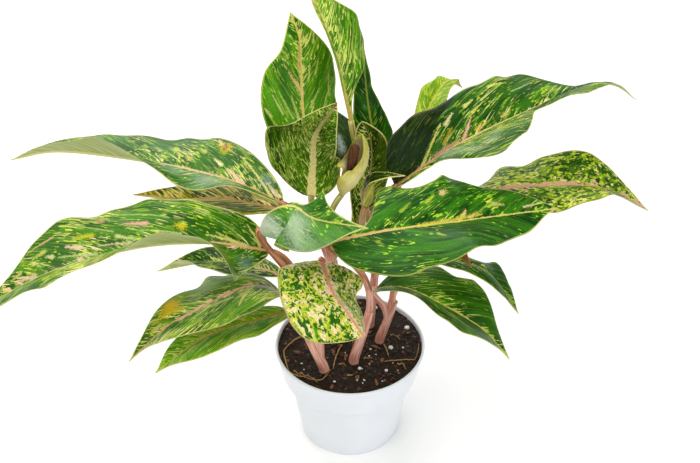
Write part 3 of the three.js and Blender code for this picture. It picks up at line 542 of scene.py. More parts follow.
            "deep": "103A00", "fresh": "275C00", "gloss": 0.05,
            "ribFoot": "7E9034", "rib": "8EA040", "halo": 0.6,
        },
    },
    "leaf_right_dried": {
        "rib": [(69, 8, 161), (75, 6, 158), (80, 4, 153), (85, 2, 148)],
        "bearing": 330, "half": (4, 5),
        "left": (40, 60, 70), "right": (40, 60, 70),
        "look": "dried",
    },
}

# Each look: the deepest green, the lighter green, then layers of streaks along the side veins.
# A layer is its colour, the width and length of a streak in mm, how rare it is (0.5 covers half),
# how much more of it there is by the rib, and how much it gathers in patches.
looks = {
    "green": {
        "slot": "leaf_green", "deep": "1A5002", "fresh": "417C02", "rib": "C8C47C", "ribFoot": "D49C7A",
        "margin": "C6C87C", "under": "93A25E", "underVein": "BDBA80", "ribHalf": (1.1, 0.4), "halo": 2.0,
        "haloTint": "CFC584", "lines": 0.45, "gloss": 0.15,
        "layers": [
            ("6A9410", 3.0, 2.4, 0.600, 0.01, 0.35, 0.035),
            ("BCCC3C", 1.7, 1.4, 0.665, 0.02, 0.40, 0.018),
            ("DAD88C", 0.9, 7.0, 0.675, 0.04, 0.30, 0.018),
            ("E2BE9C", 2.0, 3.6, 0.745, 0.09, 0.25, 0.020),
        ],
    },
    "bright": {
        "slot": "leaf_green", "deep": "215C00", "fresh": "4E9004", "rib": "D2C668", "ribFoot": "D2AC66",
        "margin": "B8C258", "under": "76904A", "underVein": "A4AE6C", "ribHalf": (1.3, 0.5), "halo": 2.4,
        "haloTint": "D0C56A", "lines": 0.55, "gloss": 0.12,
        "layers": [
            ("6CA20C", 2.6, 2.4, 0.620, 0.01, 0.35, 0.035),
            ("CCD86A", 0.9, 7.5, 0.670, 0.04, 0.30, 0.018),
            ("D4DC6C", 1.5, 1.8, 0.690, 0.05, 0.35, 0.018),
        ],
    },
    "deep": {
        "slot": "leaf_green", "deep": "0A3C06", "fresh": "307008", "rib": "C8C064", "ribFoot": "CFA868",
        "margin": "BCC068", "under": "6C8248", "underVein": "98A468", "ribHalf": (1.0, 0.4), "halo": 1.0,
        "haloTint": "BEB656", "lines": 0.22, "gloss": 0.14,
        "layers": [
            ("3A7C0E", 3.0, 2.4, 0.600, 0.01, 0.35, 0.035),
            ("9AC828", 2.4, 1.8, 0.665, 0.01, 0.35, 0.018),
            ("C0CC5C", 0.8, 7.0, 0.695, 0.03, 0.25, 0.020),
            ("DEDC50", 2.6, 2.0, 0.730, 0.02, 0.30, 0.018),
        ],
    },
    "olive": {
        "slot": "leaf_green", "deep": "1E3E00", "fresh": "447002", "rib": "DCD292", "ribFoot": "D8CC86",
        "margin": "CDC67C", "under": "5E7438", "underVein": "8A9458", "ribHalf": (2.8, 1.7), "halo": 2.2,
        "haloTint": "C4BE78", "lines": 0.25, "gloss": 0.07,
        "layers": [
            ("64901A", 1.8, 1.6, 0.590, 0.02, 0.35, 0.035),
            ("B4C84C", 1.2, 1.0, 0.632, 0.02, 0.40, 0.018),
            ("D2D684", 0.8, 4.0, 0.670, 0.05, 0.30, 0.018),
        ],
    },
    "gold": {
        "slot": "leaf_gold", "deep": "1E4E00", "fresh": "4A7A04", "rib": "D6A48E", "ribFoot": "CC927A",
        "margin": "BDB64E", "under": "8A9248", "underVein": "B2A266", "ribHalf": (2.2, 0.7), "halo": 3.0,
        "haloTint": "D0AA80", "lines": 0.3, "gloss": 0.13, "blocky": True,
        "layers": [
            ("7C9E0C", 4.4, 2.8, 0.495, 0.01, 0.30, 0.025),
            ("B8C634", 3.2, 2.2, 0.545, 0.02, 0.35, 0.018),
            ("DED684", 2.4, 1.7, 0.632, 0.05, 0.30, 0.018),
            ("D2A884", 4.0, 2.0, 0.740, 0.15, 0.20, 0.020),
            ("1C4800", 2.6, 1.8, 0.600, -0.04, -0.15, 0.016),
        ],
    },
    "gilded": {
        "slot": "leaf_gold", "deep": "1A3C04", "fresh": "466206", "rib": "C89A6C", "ribFoot": "C68868",
        "margin": "B0A040", "under": "8A9248", "underVein": "B2A266", "ribHalf": (1.2, 0.8), "halo": 2.0,
        "haloTint": "C8A468", "lines": 0.2, "gloss": 0.06,
        "layers": [
            ("84880E", 2.2, 5.5, 0.500, 0.02, 0.25, 0.030),
            ("BCA834", 1.7, 7.0, 0.565, 0.02, 0.30, 0.022),
            ("E6D680", 1.4, 6.0, 0.630, 0.04, 0.30, 0.018),
            ("CE9670", 1.6, 5.0, 0.755, 0.07, 0.20, 0.020),
            ("1E4004", 1.6, 5.0, 0.590, -0.02, -0.10, 0.018),
        ],
    },
    "mottled": {
        "slot": "leaf_mottled", "deep": "15500A", "fresh": "4A8A12", "rib": "CC8C74", "ribFoot": "C27C6E",
        "margin": "D4CC80", "under": "98A258", "underVein": "BDB278", "ribHalf": (1.6, 0.8), "halo": 4.6,
        "haloTint": "DDB694", "lines": 0.1, "gloss": 0.14, "blocky": True,
        "layers": [
            ("86A81A", 3.2, 2.3, 0.480, 0.02, 0.20, 0.022),
            ("C2C048", 2.4, 1.8, 0.505, 0.04, 0.25, 0.018),
            ("D8CA8E", 3.8, 2.6, 0.560, 0.13, 0.35, 0.018),
            ("1A560A", 2.5, 1.8, 0.575, -0.05, -0.15, 0.016),
            ("2C6A10", 1.6, 1.4, 0.640, -0.02, 0.10, 0.018),
            ("B4BC34", 1.6, 1.4, 0.660, 0.02, 0.10, 0.018),
        ],
    },
    # Painted shade: a darker copy of the green look, for a leaf that sits in the shadow of the leaves in
    # front of it
    "shade": {
        "slot": "leaf_green", "deep": "0C3600", "fresh": "205404", "rib": "7A8C2C", "ribFoot": "8E8640",
        "margin": "5E741E", "under": "465A24", "underVein": "6C7A40", "ribHalf": (0.9, 0.4), "halo": 0.5,
        "haloTint": "5E7C1E", "lines": 0.2, "gloss": 0.1,
        "layers": [
            ("346E08", 2.0, 2.4, 0.610, 0.02, 0.30, 0.035),
            ("8EA83C", 0.8, 4.0, 0.705, 0.03, 0.30, 0.020),
        ],
    },
    # Painted shade: a darker, greyer copy of the green look, for a leaf deep in the shadow of the leaves
    # around it
    "shadow": {
        "slot": "leaf_green", "deep": "1E3614", "fresh": "304A18", "rib": "3C5622", "ribFoot": "4E5E2A",
        "margin": "4E642A", "under": "4A5C34", "underVein": "647044", "ribHalf": (0.8, 0.4), "halo": 0.0,
        "haloTint": "486228", "lines": 0.1, "gloss": 0.15,
        "layers": [
            ("405E22", 2.0, 2.4, 0.610, 0.02, 0.30, 0.035),
        ],
    },
    "dried": {
        "slot": "leaf_dried", "deep": "5E3A10", "fresh": "88541A", "rib": "9A6A2C", "ribFoot": "7A6A22",
        "margin": "A47A3C", "under": "7A5424", "underVein": "946C34", "ribHalf": (0.8, 0.4), "halo": 0.0,
        "haloTint": "9A6A2C", "lines": 0.3, "gloss": 0.2,
        "layers": [
            ("9E6C2A", 1.2, 5.0, 0.560, 0.03, 0.30, 0.040),
            ("BC904C", 0.8, 4.0, 0.660, 0.03, 0.30, 0.020),
        ],
    },
    "young": {
        "slot": "leaf_young", "deep": "588202", "fresh": "749C0A", "rib": "B8BC48", "ribFoot": "B4B64A",
        "margin": "A2A836", "under": "829A38", "underVein": "9CAA54", "ribHalf": (1.0, 0.4), "halo": 1.5,
        "haloTint": "B0BA46", "lines": 0.4, "gloss": 0.12,
        "layers": [
            ("92AE1E", 2.2, 2.0, 0.580, 0.03, 0.35, 0.035),
            ("BCCA58", 0.8, 5.0, 0.670, 0.05, 0.30, 0.020),
        ],
    },
}


def outline(leaf, t):
    # Half width as a share of the widest, from base to tip
    belly = leaf.get("belly", 0.38)
    if t < belly:
        return math.sin(math.pi / 2 * t / belly) ** leaf.get("base", 0.7)
    x = (t - belly) / (1 - belly)
    return max(0.0, 1 - x ** 1.8) ** leaf.get("tip", 1.3)


def bladeSurface(leaf, rows, halfColumns):
    # Middle surface as rows of points from the right margin to the left, with each point's distance
    # across from the rib, along from the base and in from the margin
    centres, alongs, length = smoothRun(leaf["rib"], rows)
    bearing = math.radians(leaf["bearing"])
    shares = [(j / halfColumns) ** blade["crowding"] for j in range(halfColumns + 1)]
    points = np.zeros((rows + 1, 2 * halfColumns + 1, 3))
    across = np.zeros(points.shape[:2])
    along = np.zeros(points.shape[:2])
    inward = np.zeros(points.shape[:2])
    for i in range(rows + 1):
        t = i / rows
        side = np.array([-math.sin(bearing), math.cos(bearing), 0])
        side -= side.dot(alongs[i]) * alongs[i]
        side /= np.linalg.norm(side)
        up = np.cross(alongs[i], side)
        points[i, halfColumns] = centres[i]
        along[i, :] = t * length
        for hand, word, k, phase in ((1, "left", 0, 0), (-1, "right", 1, blade["rightPhase"])):
            arch = leaf.get("arches", (blade["arch"], blade["arch"]))[k]
            width = leaf["half"][k] * outline(leaf, t) * alongStations(leaf.get(word + "Widths", (1, 1)), t)
            width += blade["baseHalf"] * (1 - blade["baseFade"] * t)
            rise = alongStations(leaf[word], t)
            ripple = math.sin(2 * math.pi * (blade["waves"] * t + phase)) * math.sin(math.pi * t)
            out = lift = 0
            inward[i, halfColumns] = width
            for j in range(1, halfColumns + 1):
                q = (shares[j] + shares[j - 1]) / 2
                step = width * (shares[j] - shares[j - 1])
                wave = blade["wave"] * ripple * q * blade["waveGrowth"]
                slope = math.radians(rise + arch * (0.5 - q) + wave)
                out += step * math.cos(slope)
                lift += step * math.sin(slope)
                column = halfColumns + hand * j
                points[i, column] = centres[i] + hand * out * side + lift * up
                across[i, column] = hand * width * shares[j]
                inward[i, column] = width * (1 - shares[j])
    return points, across, along, inward


def surfaceNormals(points):
    normals = np.cross(np.gradient(points, axis=0), np.gradient(points, axis=1))
    return normals / np.linalg.norm(normals, axis=2, keepdims=True)


def bladeMesh(name, leaf, seed):
    # The blade's closed skin, quilted between its veins, and its length
    rows, half = blade["rows"], blade["halfColumns"]
    middle, across, along, inward = bladeSurface(leaf, rows, half)
    reach = np.abs(across)
    length = along.max()
    fade = np.minimum(1, reach / blade["quiltFromRib"]) * np.minimum(1, inward / blade["quiltFromMargin"])
    veinFoot = along - blade["veinSlant"] * reach - blade["veinCurve"] * reach ** 2
    vein = veinFoot / blade["veinSpacing"] + np.where(across > 0, 0.5, 0.0)
    quilt = blade["quilt"] * (np.abs(np.sin(math.pi * vein)) ** 0.7 - 0.6) * fade
    turn = 2 * math.pi * along / blade["rippleLength"] + seed
    swing = np.sin(turn + 0.6 * np.sin(turn * 0.37))
    bend = np.sin(math.pi * along / length)
    ripple = blade["ripple"] * swing * (reach / blade["rippleReach"]) ** 2 * bend
    normals = surfaceNormals(middle)
    middle = middle + normals * (quilt + ripple)[..., None]

    taper = 1 - blade["ribTaper"] * along / length
    thin, thick = blade["marginThickness"], blade["thickness"]
    body = thin + (thick - thin) * np.minimum(1, inward / blade["marginRun"])
    edge = np.minimum(1, inward / blade["edgeRound"]) ** 0.5
    ridge = blade["ribRelief"] * taper * np.exp(-(reach / blade["ribWidth"]) ** 2)
    groove = blade["ribGroove"] * taper * np.exp(-(reach / (0.8 * blade["ribWidth"])) ** 2)
    upper = middle + normals * (edge * body / 2 - groove)[..., None]
    lower = middle - normals * (edge * body / 2 + ridge)[..., None]
    upper[:, 0], upper[:, -1] = middle[:, 0], middle[:, -1]
    lower[:, 0], lower[:, -1] = middle[:, 0], middle[:, -1]

    skin = np.concatenate([upper, lower[:, ::-1][:, 1:]], axis=1)
    marks = {
        mark: np.concatenate([value, value[:, ::-1][:, 1:]], axis=1)
        for mark, value in (("across", across), ("along", along), ("inward", inward))
    }
    bm = bmesh.new()
    addSkin(bm, skin, marks, materialAt=lambda share: 0 if share < 0.5 else 1)
    return meshFrom(bm, name), length


def readMarks(tree, marks):
    return [addNode(tree, "Attribute", attribute_name=mark).outputs["Fac"] for mark in marks]


# Sizes in the flesh of a leaf, in millimetres, and patterns as cells per millimetre
# across and along the side veins
flesh = {
    "patch": 26, "spread": 13, "nearRib": 12.0, "margin": (1.2, 0.7), "fleckCell": 1.4,
    "cloud": (1 / 11, 1 / 14, 1), "teeth": (1 / 2.4, 1 / 7, 1), "underStreak": (1 / 3, 1 / 16, 1),
    "grainPerMm": 0.9, "cellsPerMm": 1.3,
}


def leafPlaces(tree, seed):
    # The blade's marks, how far a point lies from the rib, where its side vein leaves the rib,
    # its hand, 1 on the left, and its place by the side veins
    across, along, inward = readMarks(tree, ("across", "along", "inward"))
    reach = addNode(tree, "Math", {0: across}, operation="ABSOLUTE")
    slant = addNode(tree, "Math", {
        0: reach, 1: -blade["veinCurve"], 2: -blade["veinSlant"]}, operation="MULTIPLY_ADD")
    vein = addNode(tree, "Math", {0: slant, 1: reach, 2: along}, operation="MULTIPLY_ADD")
    hand = addNode(tree, "Math", {0: across, 1: 0.0}, operation="GREATER_THAN")
    handSeed = addNode(tree, "Math", {0: hand, 1: 17.0, 2: seed * 3.7}, operation="MULTIPLY_ADD")
    byVein = addNode(tree, "CombineXYZ", {0: vein, 1: reach, 2: handSeed})
    return SimpleNamespace(across=across, along=along, inward=inward, reach=reach,
                           vein=vein, hand=hand, handSeed=handSeed, byVein=byVein)


def fleckCoats(tree, at, place, look, leaf):
    # Flecks gather in patches and by the rib, and one hand can carry more of them
    patch = addNode(tree, "TexNoise", {"Vector": place, "Scale": 1 / flesh["patch"], "Detail": 1.0})
    gather = addNode(tree, "Math", {0: patch, 1: 0.5}, operation="SUBTRACT")
    space = place if look.get("blocky") else at.byVein
    rightMore, leftMore = leaf.get("more", (0.0, 0.0))
    more = addNode(tree, "Math", {
        0: at.hand, 1: leftMore - rightMore, 2: rightMore}, operation="MULTIPLY_ADD")
    cell = flesh["fleckCell"]
    coats = []
    for number, (tint, wide, long, rare, byRib, gathered, soft) in enumerate(look["layers"]):
        fleckPlace = addNode(tree, "VectorMath", {
            0: space, 1: (1 / wide / cell, 1 / long / cell, 1), 2: (5.3 * number, 0, 9.1 * number),
        }, operation="MULTIPLY_ADD")
        fleck = addNode(tree, "TexNoise", {
            "Vector": fleckPlace, "Scale": 1.0, "Detail": 1.0, "Roughness": 0.5, "Distortion": 0.4})
        near = addNode(tree, "MapRange", {0: at.reach, 1: flesh["nearRib"], 2: 0.0, 4: byRib}, **smooth)
        level = addNode(tree, "Math", {0: gather, 1: gathered, 2: fleck}, operation="MULTIPLY_ADD")
        for extra in (near, more):
            level = addNode(tree, "Math", {0: level, 1: extra}, operation="ADD")
        share = addNode(tree, "MapRange", {0: level, 1: rare - soft, 2: rare + soft}, **smooth)
        coats.append((share, tint))
    return coats


def sideVeins(tree, at):
    # 1 on the thin side veins, which leave the rib by turns left and right
    half = addNode(tree, "Math", {0: at.hand, 1: 0.5}, operation="MULTIPLY")
    turn = addNode(tree, "Math", {0: at.vein, 1: 1 / blade["veinSpacing"], 2: half}, operation="MULTIPLY_ADD")
    turn = addNode(tree, "Math", {0: turn, 1: 1.0}, operation="FLOORED_MODULO")
    off = addNode(tree, "Math", {0: turn, 1: 0.5}, operation="SUBTRACT")
    gap = addNode(tree, "Math", {0: off}, operation="ABSOLUTE")
    return addNode(tree, "MapRange", {0: gap, 1: 0.45, 2: 0.49}, **smooth)


def ribCoats(tree, at, look, length, seed):
    # Pale flesh spreads from the rib in places, in teeth along the veins.
    # The rib over it is wide and pink at the foot and thin towards the tip.
    teethPlace = addNode(tree, "VectorMath", {0: at.byVein, 1: flesh["teeth"]}, operation="MULTIPLY")
    teeth = addNode(tree, "TexNoise", {"Vector": teethPlace, "Scale": 1.0, "Detail": 3.0, "Roughness": 0.6})
    teethReach = addNode(tree, "MapRange", {0: teeth, 1: 0.36, 2: 0.7, 3: 0.3, 4: 2.2})
    spreadPlace = addNode(tree, "CombineXYZ", {0: at.along, 1: at.handSeed, 2: seed * 11.0})
    spread = addNode(tree, "TexNoise", {"Vector": spreadPlace, "Scale": 1 / flesh["spread"], "Detail": 1.0})
    halo = addNode(tree, "MapRange", {0: spread, 1: 0.42, 2: 0.66, 4: look["halo"]})
    foot, tip = look["ribHalf"]
    rib = addNode(tree, "MapRange", {0: at.along, 1: 0.0, 2: length, 3: foot * 2, 4: tip * 2})
    fade = addNode(tree, "MapRange", {0: at.along, 1: 0.0, 2: length * 0.55})
    ribTint = addNode(tree, "Mix", {0: fade, 6: look["ribFoot"], 7: look["rib"]}, data_type="RGBA")
    coats = []
    for width, ragged, start, full, tint in (
            (halo, teethReach, 0.0, 0.7, look["haloTint"]), (rib, teeth, -0.3, 0.2, ribTint)):
        edge = addNode(tree, "Math", {0: width, 1: ragged}, operation="MULTIPLY")
        inside = addNode(tree, "Math", {0: edge, 1: at.reach}, operation="SUBTRACT")
        coats.append((addNode(tree, "MapRange", {0: inside, 1: start, 2: full}, **smooth), tint))
    return coats


def laidCoats(tree, at, leaf, grain):
    # Streaks, and pale patches of painted sheen: where they start and end as along, across, half width,
    # colour, how much shows
    flat = addNode(tree, "CombineXYZ", {0: at.along, 1: at.across})
    coats = []
    # the second kind of mark is painted sheen, pale and with softer edges than the streaks
    for mark, soft in (("streaks", 0.35), ("paintedSheen", 0.9)):
        for startAlong, startAcross, endAlong, endAcross, width, tint, strength in leaf.get(mark, ()):
            run = Vector((endAlong - startAlong + 0.01, endAcross - startAcross, 0))
            away = addNode(tree, "VectorMath", {
                0: flat, 1: (startAlong, startAcross, 0)}, operation="SUBTRACT")
            passed = addNode(tree, "VectorMath", {
                0: away, 1: run / run.length_squared}, operation="DOT_PRODUCT")
            passed = addNode(tree, "MapRange", {0: passed})
            beside = addNode(tree, "VectorMath", {0: run, "Scale": passed}, operation="SCALE")
            gap = addNode(tree, "VectorMath", {0: away, 1: beside}, operation="DISTANCE")
            rough = addNode(tree, "Math", {0: grain, 1: 3.4 * width, 2: gap}, operation="MULTIPLY_ADD")
            rough = addNode(tree, "Math", {0: passed, 1: 0.5 * width, 2: rough}, operation="MULTIPLY_ADD")
            share = addNode(tree, "MapRange", {
                0: rough, 1: (2.45 + soft) * width, 2: (2.45 - soft) * width, 4: strength}, **smooth)
            coats.append((share, tint))
    return coats


def paintedShadeCoat(tree, at, start, slide, tint, strength):
    # Painted shade, near black green, up to a slanted line, over the part of a blade that lies in shadow:
    # where it starts at the rib and how far it moves per mm across
    line = addNode(tree, "Math", {0: at.across, 1: -slide, 2: at.along}, operation="MULTIPLY_ADD")
    onLeft = addNode(tree, "MapRange", {0: at.across, 1: 0.6, 2: 2.0})
    share = addNode(tree, "MapRange", {0: line, 1: start + 2.5, 2: start - 1.5, 4: strength}, **smooth)
    return addNode(tree, "Math", {0: share, 1: onLeft}, operation="MULTIPLY"), tint


def bladeMaterial(name, look, leaf, length, seed):
    # Living leaf: waxy skin over green flesh, with pale flecks where the green is missing.
    # The eye sees a soft gloss, deep green under small yellow green flecks, and a pale rib.
    material, tree = newMaterial(name)
    at = leafPlaces(tree, seed)
    place = addNode(tree, "CombineXYZ", {0: at.along, 1: at.across, 2: seed * 20.0})
    grain = addNode(tree, "TexNoise", {
        "Vector": place, "Scale": flesh["grainPerMm"], "Detail": 2.0, "Roughness": 0.7})

    # light and deep green in soft clouds drawn out along the veins, which are pale in places
    cloudPlace = addNode(tree, "VectorMath", {0: at.byVein, 1: flesh["cloud"]}, operation="MULTIPLY")
    cloud = addNode(tree, "TexNoise", {"Vector": cloudPlace, "Scale": 1.0, "Detail": 3.0, "Roughness": 0.5})
    cloudShare = addNode(tree, "MapRange", {0: cloud, 1: 0.34, 2: 0.68}, **smooth)
    strong = addNode(tree, "TexNoise", {"Vector": cloudPlace, "Scale": 1.6, "Detail": 0.0})
    lit = addNode(tree, "MapRange", {0: strong, 1: 0.45, 2: 0.60, 3: 0.06, 4: look["lines"]})
    veins = sideVeins(tree, at)
    veinShare = addNode(tree, "Math", {0: veins, 1: lit}, operation="MULTIPLY")
    marginFrom, marginFull = flesh["margin"]
    marginShare = addNode(tree, "MapRange", {0: at.inward, 1: marginFrom, 2: marginFull}, **smooth)

    colour = look["deep"]
    coats = [
        (cloudShare, look["fresh"]), *fleckCoats(tree, at, place, look, leaf),
        (veinShare, look["rib"]), *ribCoats(tree, at, look, length, seed),
        (marginShare, look["margin"]), *laidCoats(tree, at, leaf, grain),
    ]
    for share, tint in coats:
        colour = addNode(tree, "Mix", {0: share, 6: colour, 7: tint}, data_type="RGBA")
    grainShare = addNode(tree, "MapRange", {0: grain, 1: 0.3, 2: 0.7, 3: 0.76, 4: 1.24})
    colour = addNode(tree, "VectorMath", {0: colour, 1: grainShare}, operation="MULTIPLY")
    # painted shade over the part of the blade that lies in shadow
    if "paintedShade" in leaf:
        share, tint = paintedShadeCoat(tree, at, *leaf["paintedShade"])
        colour = addNode(tree, "Mix", {0: share, 6: colour, 7: tint}, data_type="RGBA")

    # skin cells and sunken veins
    cells = addNode(tree, "TexNoise", {"Vector": at.byVein, "Scale": flesh["cellsPerMm"], "Detail": 2.0})
    dip = addNode(tree, "Math", {0: veins, 1: -0.8, 2: cells}, operation="MULTIPLY_ADD")
    gloss = addNode(tree, "MapRange", {0: cloud, 1: 0.3, 2: 0.7, 3: 0.30, 4: 0.40})
    finishMaterial(tree, colour, gloss, height=dip, depth=0.08, specular=look["gloss"])
    return material


def undersideMaterial(name, look, seed):
    # Underside of the same leaf: paler, greyer and duller, with faint streaks, a rib and a pale margin
    material, tree = newMaterial(name)
    at = leafPlaces(tree, seed)
    streakPlace = addNode(tree, "VectorMath", {0: at.byVein, 1: flesh["underStreak"]}, operation="MULTIPLY")
    streak = addNode(tree, "TexNoise", {"Vector": streakPlace, "Scale": 1.0, "Detail": 3.0, "Roughness": 0.6})
    colour = look["under"]
    for value, start, full, tint in (
            (streak, 0.45, 0.68, look["underVein"]), (at.reach, 2.2, 1.4, look["rib"]),
            (at.inward, 0.95, 0.45, look["margin"])):
        share = addNode(tree, "MapRange", {0: value, 1: start, 2: full}, **smooth)
        colour = addNode(tree, "Mix", {0: share, 6: colour, 7: tint}, data_type="RGBA")
    finishMaterial(tree, colour, 0.5, height=streak, depth=0.12, specular=0.22)
    return material


for number, (name, leaf) in enumerate(leaves.items()):
    mesh, length = bladeMesh(name, leaf, number)
    look = {**looks[leaf["look"]], **leaf.get("tints", {})}
    upper = bladeMaterial("upper leaf skin " + name[5:], look, leaf, length, number)
    under = undersideMaterial("lower leaf skin " + name[5:], look, number)
    finishPiece("blade_" + name[5:], mesh, [upper, under], name)
print("leaves ready")


# Shoots: the stem in the soil and the stalks it carries

shoots = {
    "shoot_left": {"foot": (-19, -27), "radius": 3.9, "lean": (-33, -27, 122)},
    "shoot_front": {"foot": (3, -18), "radius": 3.9, "lean": (14, -18, 126)},
    "shoot_right": {"foot": (22, 4), "radius": 3.4, "lean": (32, 4, 116)},
    "shoot_back": {"foot": (15, 21), "radius": 3.6, "lean": (19, 22, 140)},
    "shoot_centre": {"foot": (-10, 8), "radius": 4.2, "lean": (-12, 12, 146)},
}

# The shoot that carries each leaf, the height its stalk leaves at and, where needed, two points that steer it
stalks = {
    "leaf_left_high": ("shoot_centre", 118), "leaf_left_middle": ("shoot_centre", 108),
    "leaf_left_long": ("shoot_left", 118), "leaf_left_small": ("shoot_centre", 92),
    "leaf_left_low": ("shoot_left", 100), "leaf_left_lowest": ("shoot_left", 90),
    "leaf_front_hanging": ("shoot_left", 84),
    "leaf_front_folded": ("shoot_left", 86, (-18, -18, 150), (-61, -42, 198)),
    "leaf_right_broad": ("shoot_front", 122, (20, -18, 175), (-26, -60, 210)),
    "leaf_right_high": ("shoot_back", 118), "leaf_right_far": ("shoot_right", 110),
    "leaf_back_young": ("shoot_back", 108), "leaf_top_left": ("shoot_centre", 134),
    "leaf_top_tall": ("shoot_back", 128, (24, 34, 165), (5, 31, 215)),
    "leaf_top_back": ("shoot_back", 122),
    "leaf_centre_cupped": ("shoot_centre", 140), "leaf_centre_curled": ("shoot_centre", 144),
    "leaf_centre_pointed": ("shoot_back", 138, (17, 18, 170), (6, 8, 204)),
    "leaf_centre_dark": ("shoot_back", 138),
    "leaf_right_low": ("shoot_right", 98), "leaf_right_small": ("shoot_right", 104),
    "leaf_right_dried": ("shoot_right", 106),
}

stalk = {
    "soilLevel": 79.2, "buried": 12, "shootRows": 40, "shootSides": 28, "shootTaper": 0.78,
    "radii": (2.7, 2.2), "rows": 60, "sides": 20, "groove": 0.12, "bladeOverlap": 1.5,
    "sheathOut": 0.7, "sheathFrom": -6, "sheathTop": 3, "sheathLeast": 8, "sheathPoints": 8,
    "climb": 0.45, "approach": 0.32, "leafyShare": 0.85,
    "leafy": (
        "leaf_centre_cupped", "leaf_centre_curled", "leaf_centre_pointed", "leaf_centre_dark",
        "leaf_top_tall", "leaf_top_back",
    ),
}


def tubePoints(centres, alongs, radii, sides, groove=0.0):
    # A tube round the centres, with a groove along the side that faces up
    side = np.cross(alongs[0], (0.01, 0.01, 1.01))
    rings = []
    for centre, along, radius in zip(centres, alongs, radii):
        side = side - side.dot(along) * along
        side /= np.linalg.norm(side)
        other = np.cross(along, side)
        ring = []
        for j in range(sides + 1):
            angle = 2 * math.pi * (j % sides) / sides
            wrap = abs(((angle - math.pi * 1.5) + math.pi) % (2 * math.pi) - math.pi)  # from the groove
            size = radius * (1 - groove * math.exp(-(wrap / 0.5) ** 2))
            ring.append(centre + size * (math.cos(angle) * side + math.sin(angle) * other))
        rings.append(ring)
    return np.array(rings)


def tubeMarks(points, length):
    rows, columns = points.shape[:2]
    return {
        "along": np.repeat(np.linspace(0, length, rows)[:, None], columns, axis=1),
        "around": np.repeat(np.linspace(0, 1, columns)[None, :], rows, axis=0),
    }


def addTube(bm, centres, alongs, radii, length, sides, groove=0.0, leafy=0.0):
    points = tubePoints(centres, alongs, radii, sides, groove)
    addSkin(bm, points, {**tubeMarks(points, length), "leafy": np.full(points.shape[:2], leafy)})


def shootAxis(shoot):
    x, y = shoot["foot"]
    leanX, leanY, top = shoot["lean"]
    level = stalk["soilLevel"]
    return [(x, y, level - stalk["buried"]), (x, y, level - 5), (x, y, level + 2),
            ((x + leanX) / 2, (y + leanY) / 2, (level + top) / 2), (leanX, leanY, top)]


def axisPointAt(shoot, height):
    x, y = shoot["foot"]
    leanX, leanY, top = shoot["lean"]
    share = min(1, max(0, (height - stalk["soilLevel"]) / (top - stalk["soilLevel"])))
    return np.array([x + (leanX - x) * share, y + (leanY - y) * share, min(height, top)])


def stalkRun(shoot, height, end, direction, steer):
    # From the shoot's foot up its side as a sheath, then out along a curve to the blade
    start = axisPointAt(shoot, height)
    reach = np.linalg.norm(end - start)
    first, second = steer or (
        start + (0, 0, stalk["climb"] * reach), end - stalk["approach"] * reach * direction)
    first, second = np.array(first, float), np.array(second, float)
    u = np.linspace(0, 1, stalk["rows"] + 1)[:, None]
    arc = (1 - u) ** 3 * start + 3 * (1 - u) ** 2 * u * first + 3 * (1 - u) * u * u * second + u ** 3 * end
    low = stalk["soilLevel"] + stalk["sheathFrom"]
    if height - low <= stalk["sheathLeast"]:
        return arc
    outward = np.array([end[0] - start[0], end[1] - start[1], 0])
    outward /= max(np.linalg.norm(outward), 1)
    heights = np.linspace(low, height - stalk["sheathTop"], stalk["sheathPoints"])
    return np.array([*(axisPointAt(shoot, z) + outward * stalk["sheathOut"] for z in heights), *arc])


def addStalk(bm, shoot, height, end, direction, steer, radii, leafy):
    # leafy is how green its upper part turns
    centres, alongs, length = evenRun(stalkRun(shoot, height, end, direction, steer), stalk["rows"])
    t = np.linspace(0, 1, stalk["rows"] + 1)
    radii = radii[0] + (radii[1] - radii[0]) * t ** 0.7
    addTube(bm, centres, alongs, radii, length, stalk["sides"], stalk["groove"], leafy)


def buildShoot(name, shoot):
    bm = bmesh.new()
    rows = stalk["shootRows"]
    centres, alongs, length = smoothRun(shootAxis(shoot), rows)
    radii = shoot["radius"] * np.linspace(1, stalk["shootTaper"], rows + 1)
    addTube(bm, centres, alongs, radii, length, stalk["shootSides"])
    for leafName, (owner, height, *steer) in stalks.items():
        if owner == name:
            centres, alongs, _ = smoothRun(leaves[leafName]["rib"], rows)
            end = centres[0] + stalk["bladeOverlap"] * alongs[0]
            leafy = stalk["leafyShare"] if leafName in stalk["leafy"] else 0.0
            addStalk(bm, shoot, height, end, alongs[0], steer, stalk["radii"], leafy)
    for owner, height, course, leafy in bearers:
        if owner == name:
            centres, alongs, _ = smoothRun(course, rows)
            addStalk(bm, shoot, height, centres[0], alongs[0], None, flower["stalkRadii"], leafy)
    finishPiece("stalks_" + name[6:], meshFrom(bm, name), [stemSkin], name)


def streaksAlong(tree, stretch, scale, roughness):
    # Noise drawn out along a tube: about 20 mm long and ten to a turn on a stalk
    along, around = readMarks(tree, ("along", "around"))
    place = addNode(tree, "CombineXYZ", {
        0: addNode(tree, "Math", {0: along, 1: stretch}, operation="MULTIPLY"),
        1: addNode(tree, "Math", {0: around, 1: 6.2832}, operation="MULTIPLY")})
    return addNode(tree, "TexNoise", {"Vector": place, "Scale": scale, "Detail": 3.0, "Roughness": roughness})


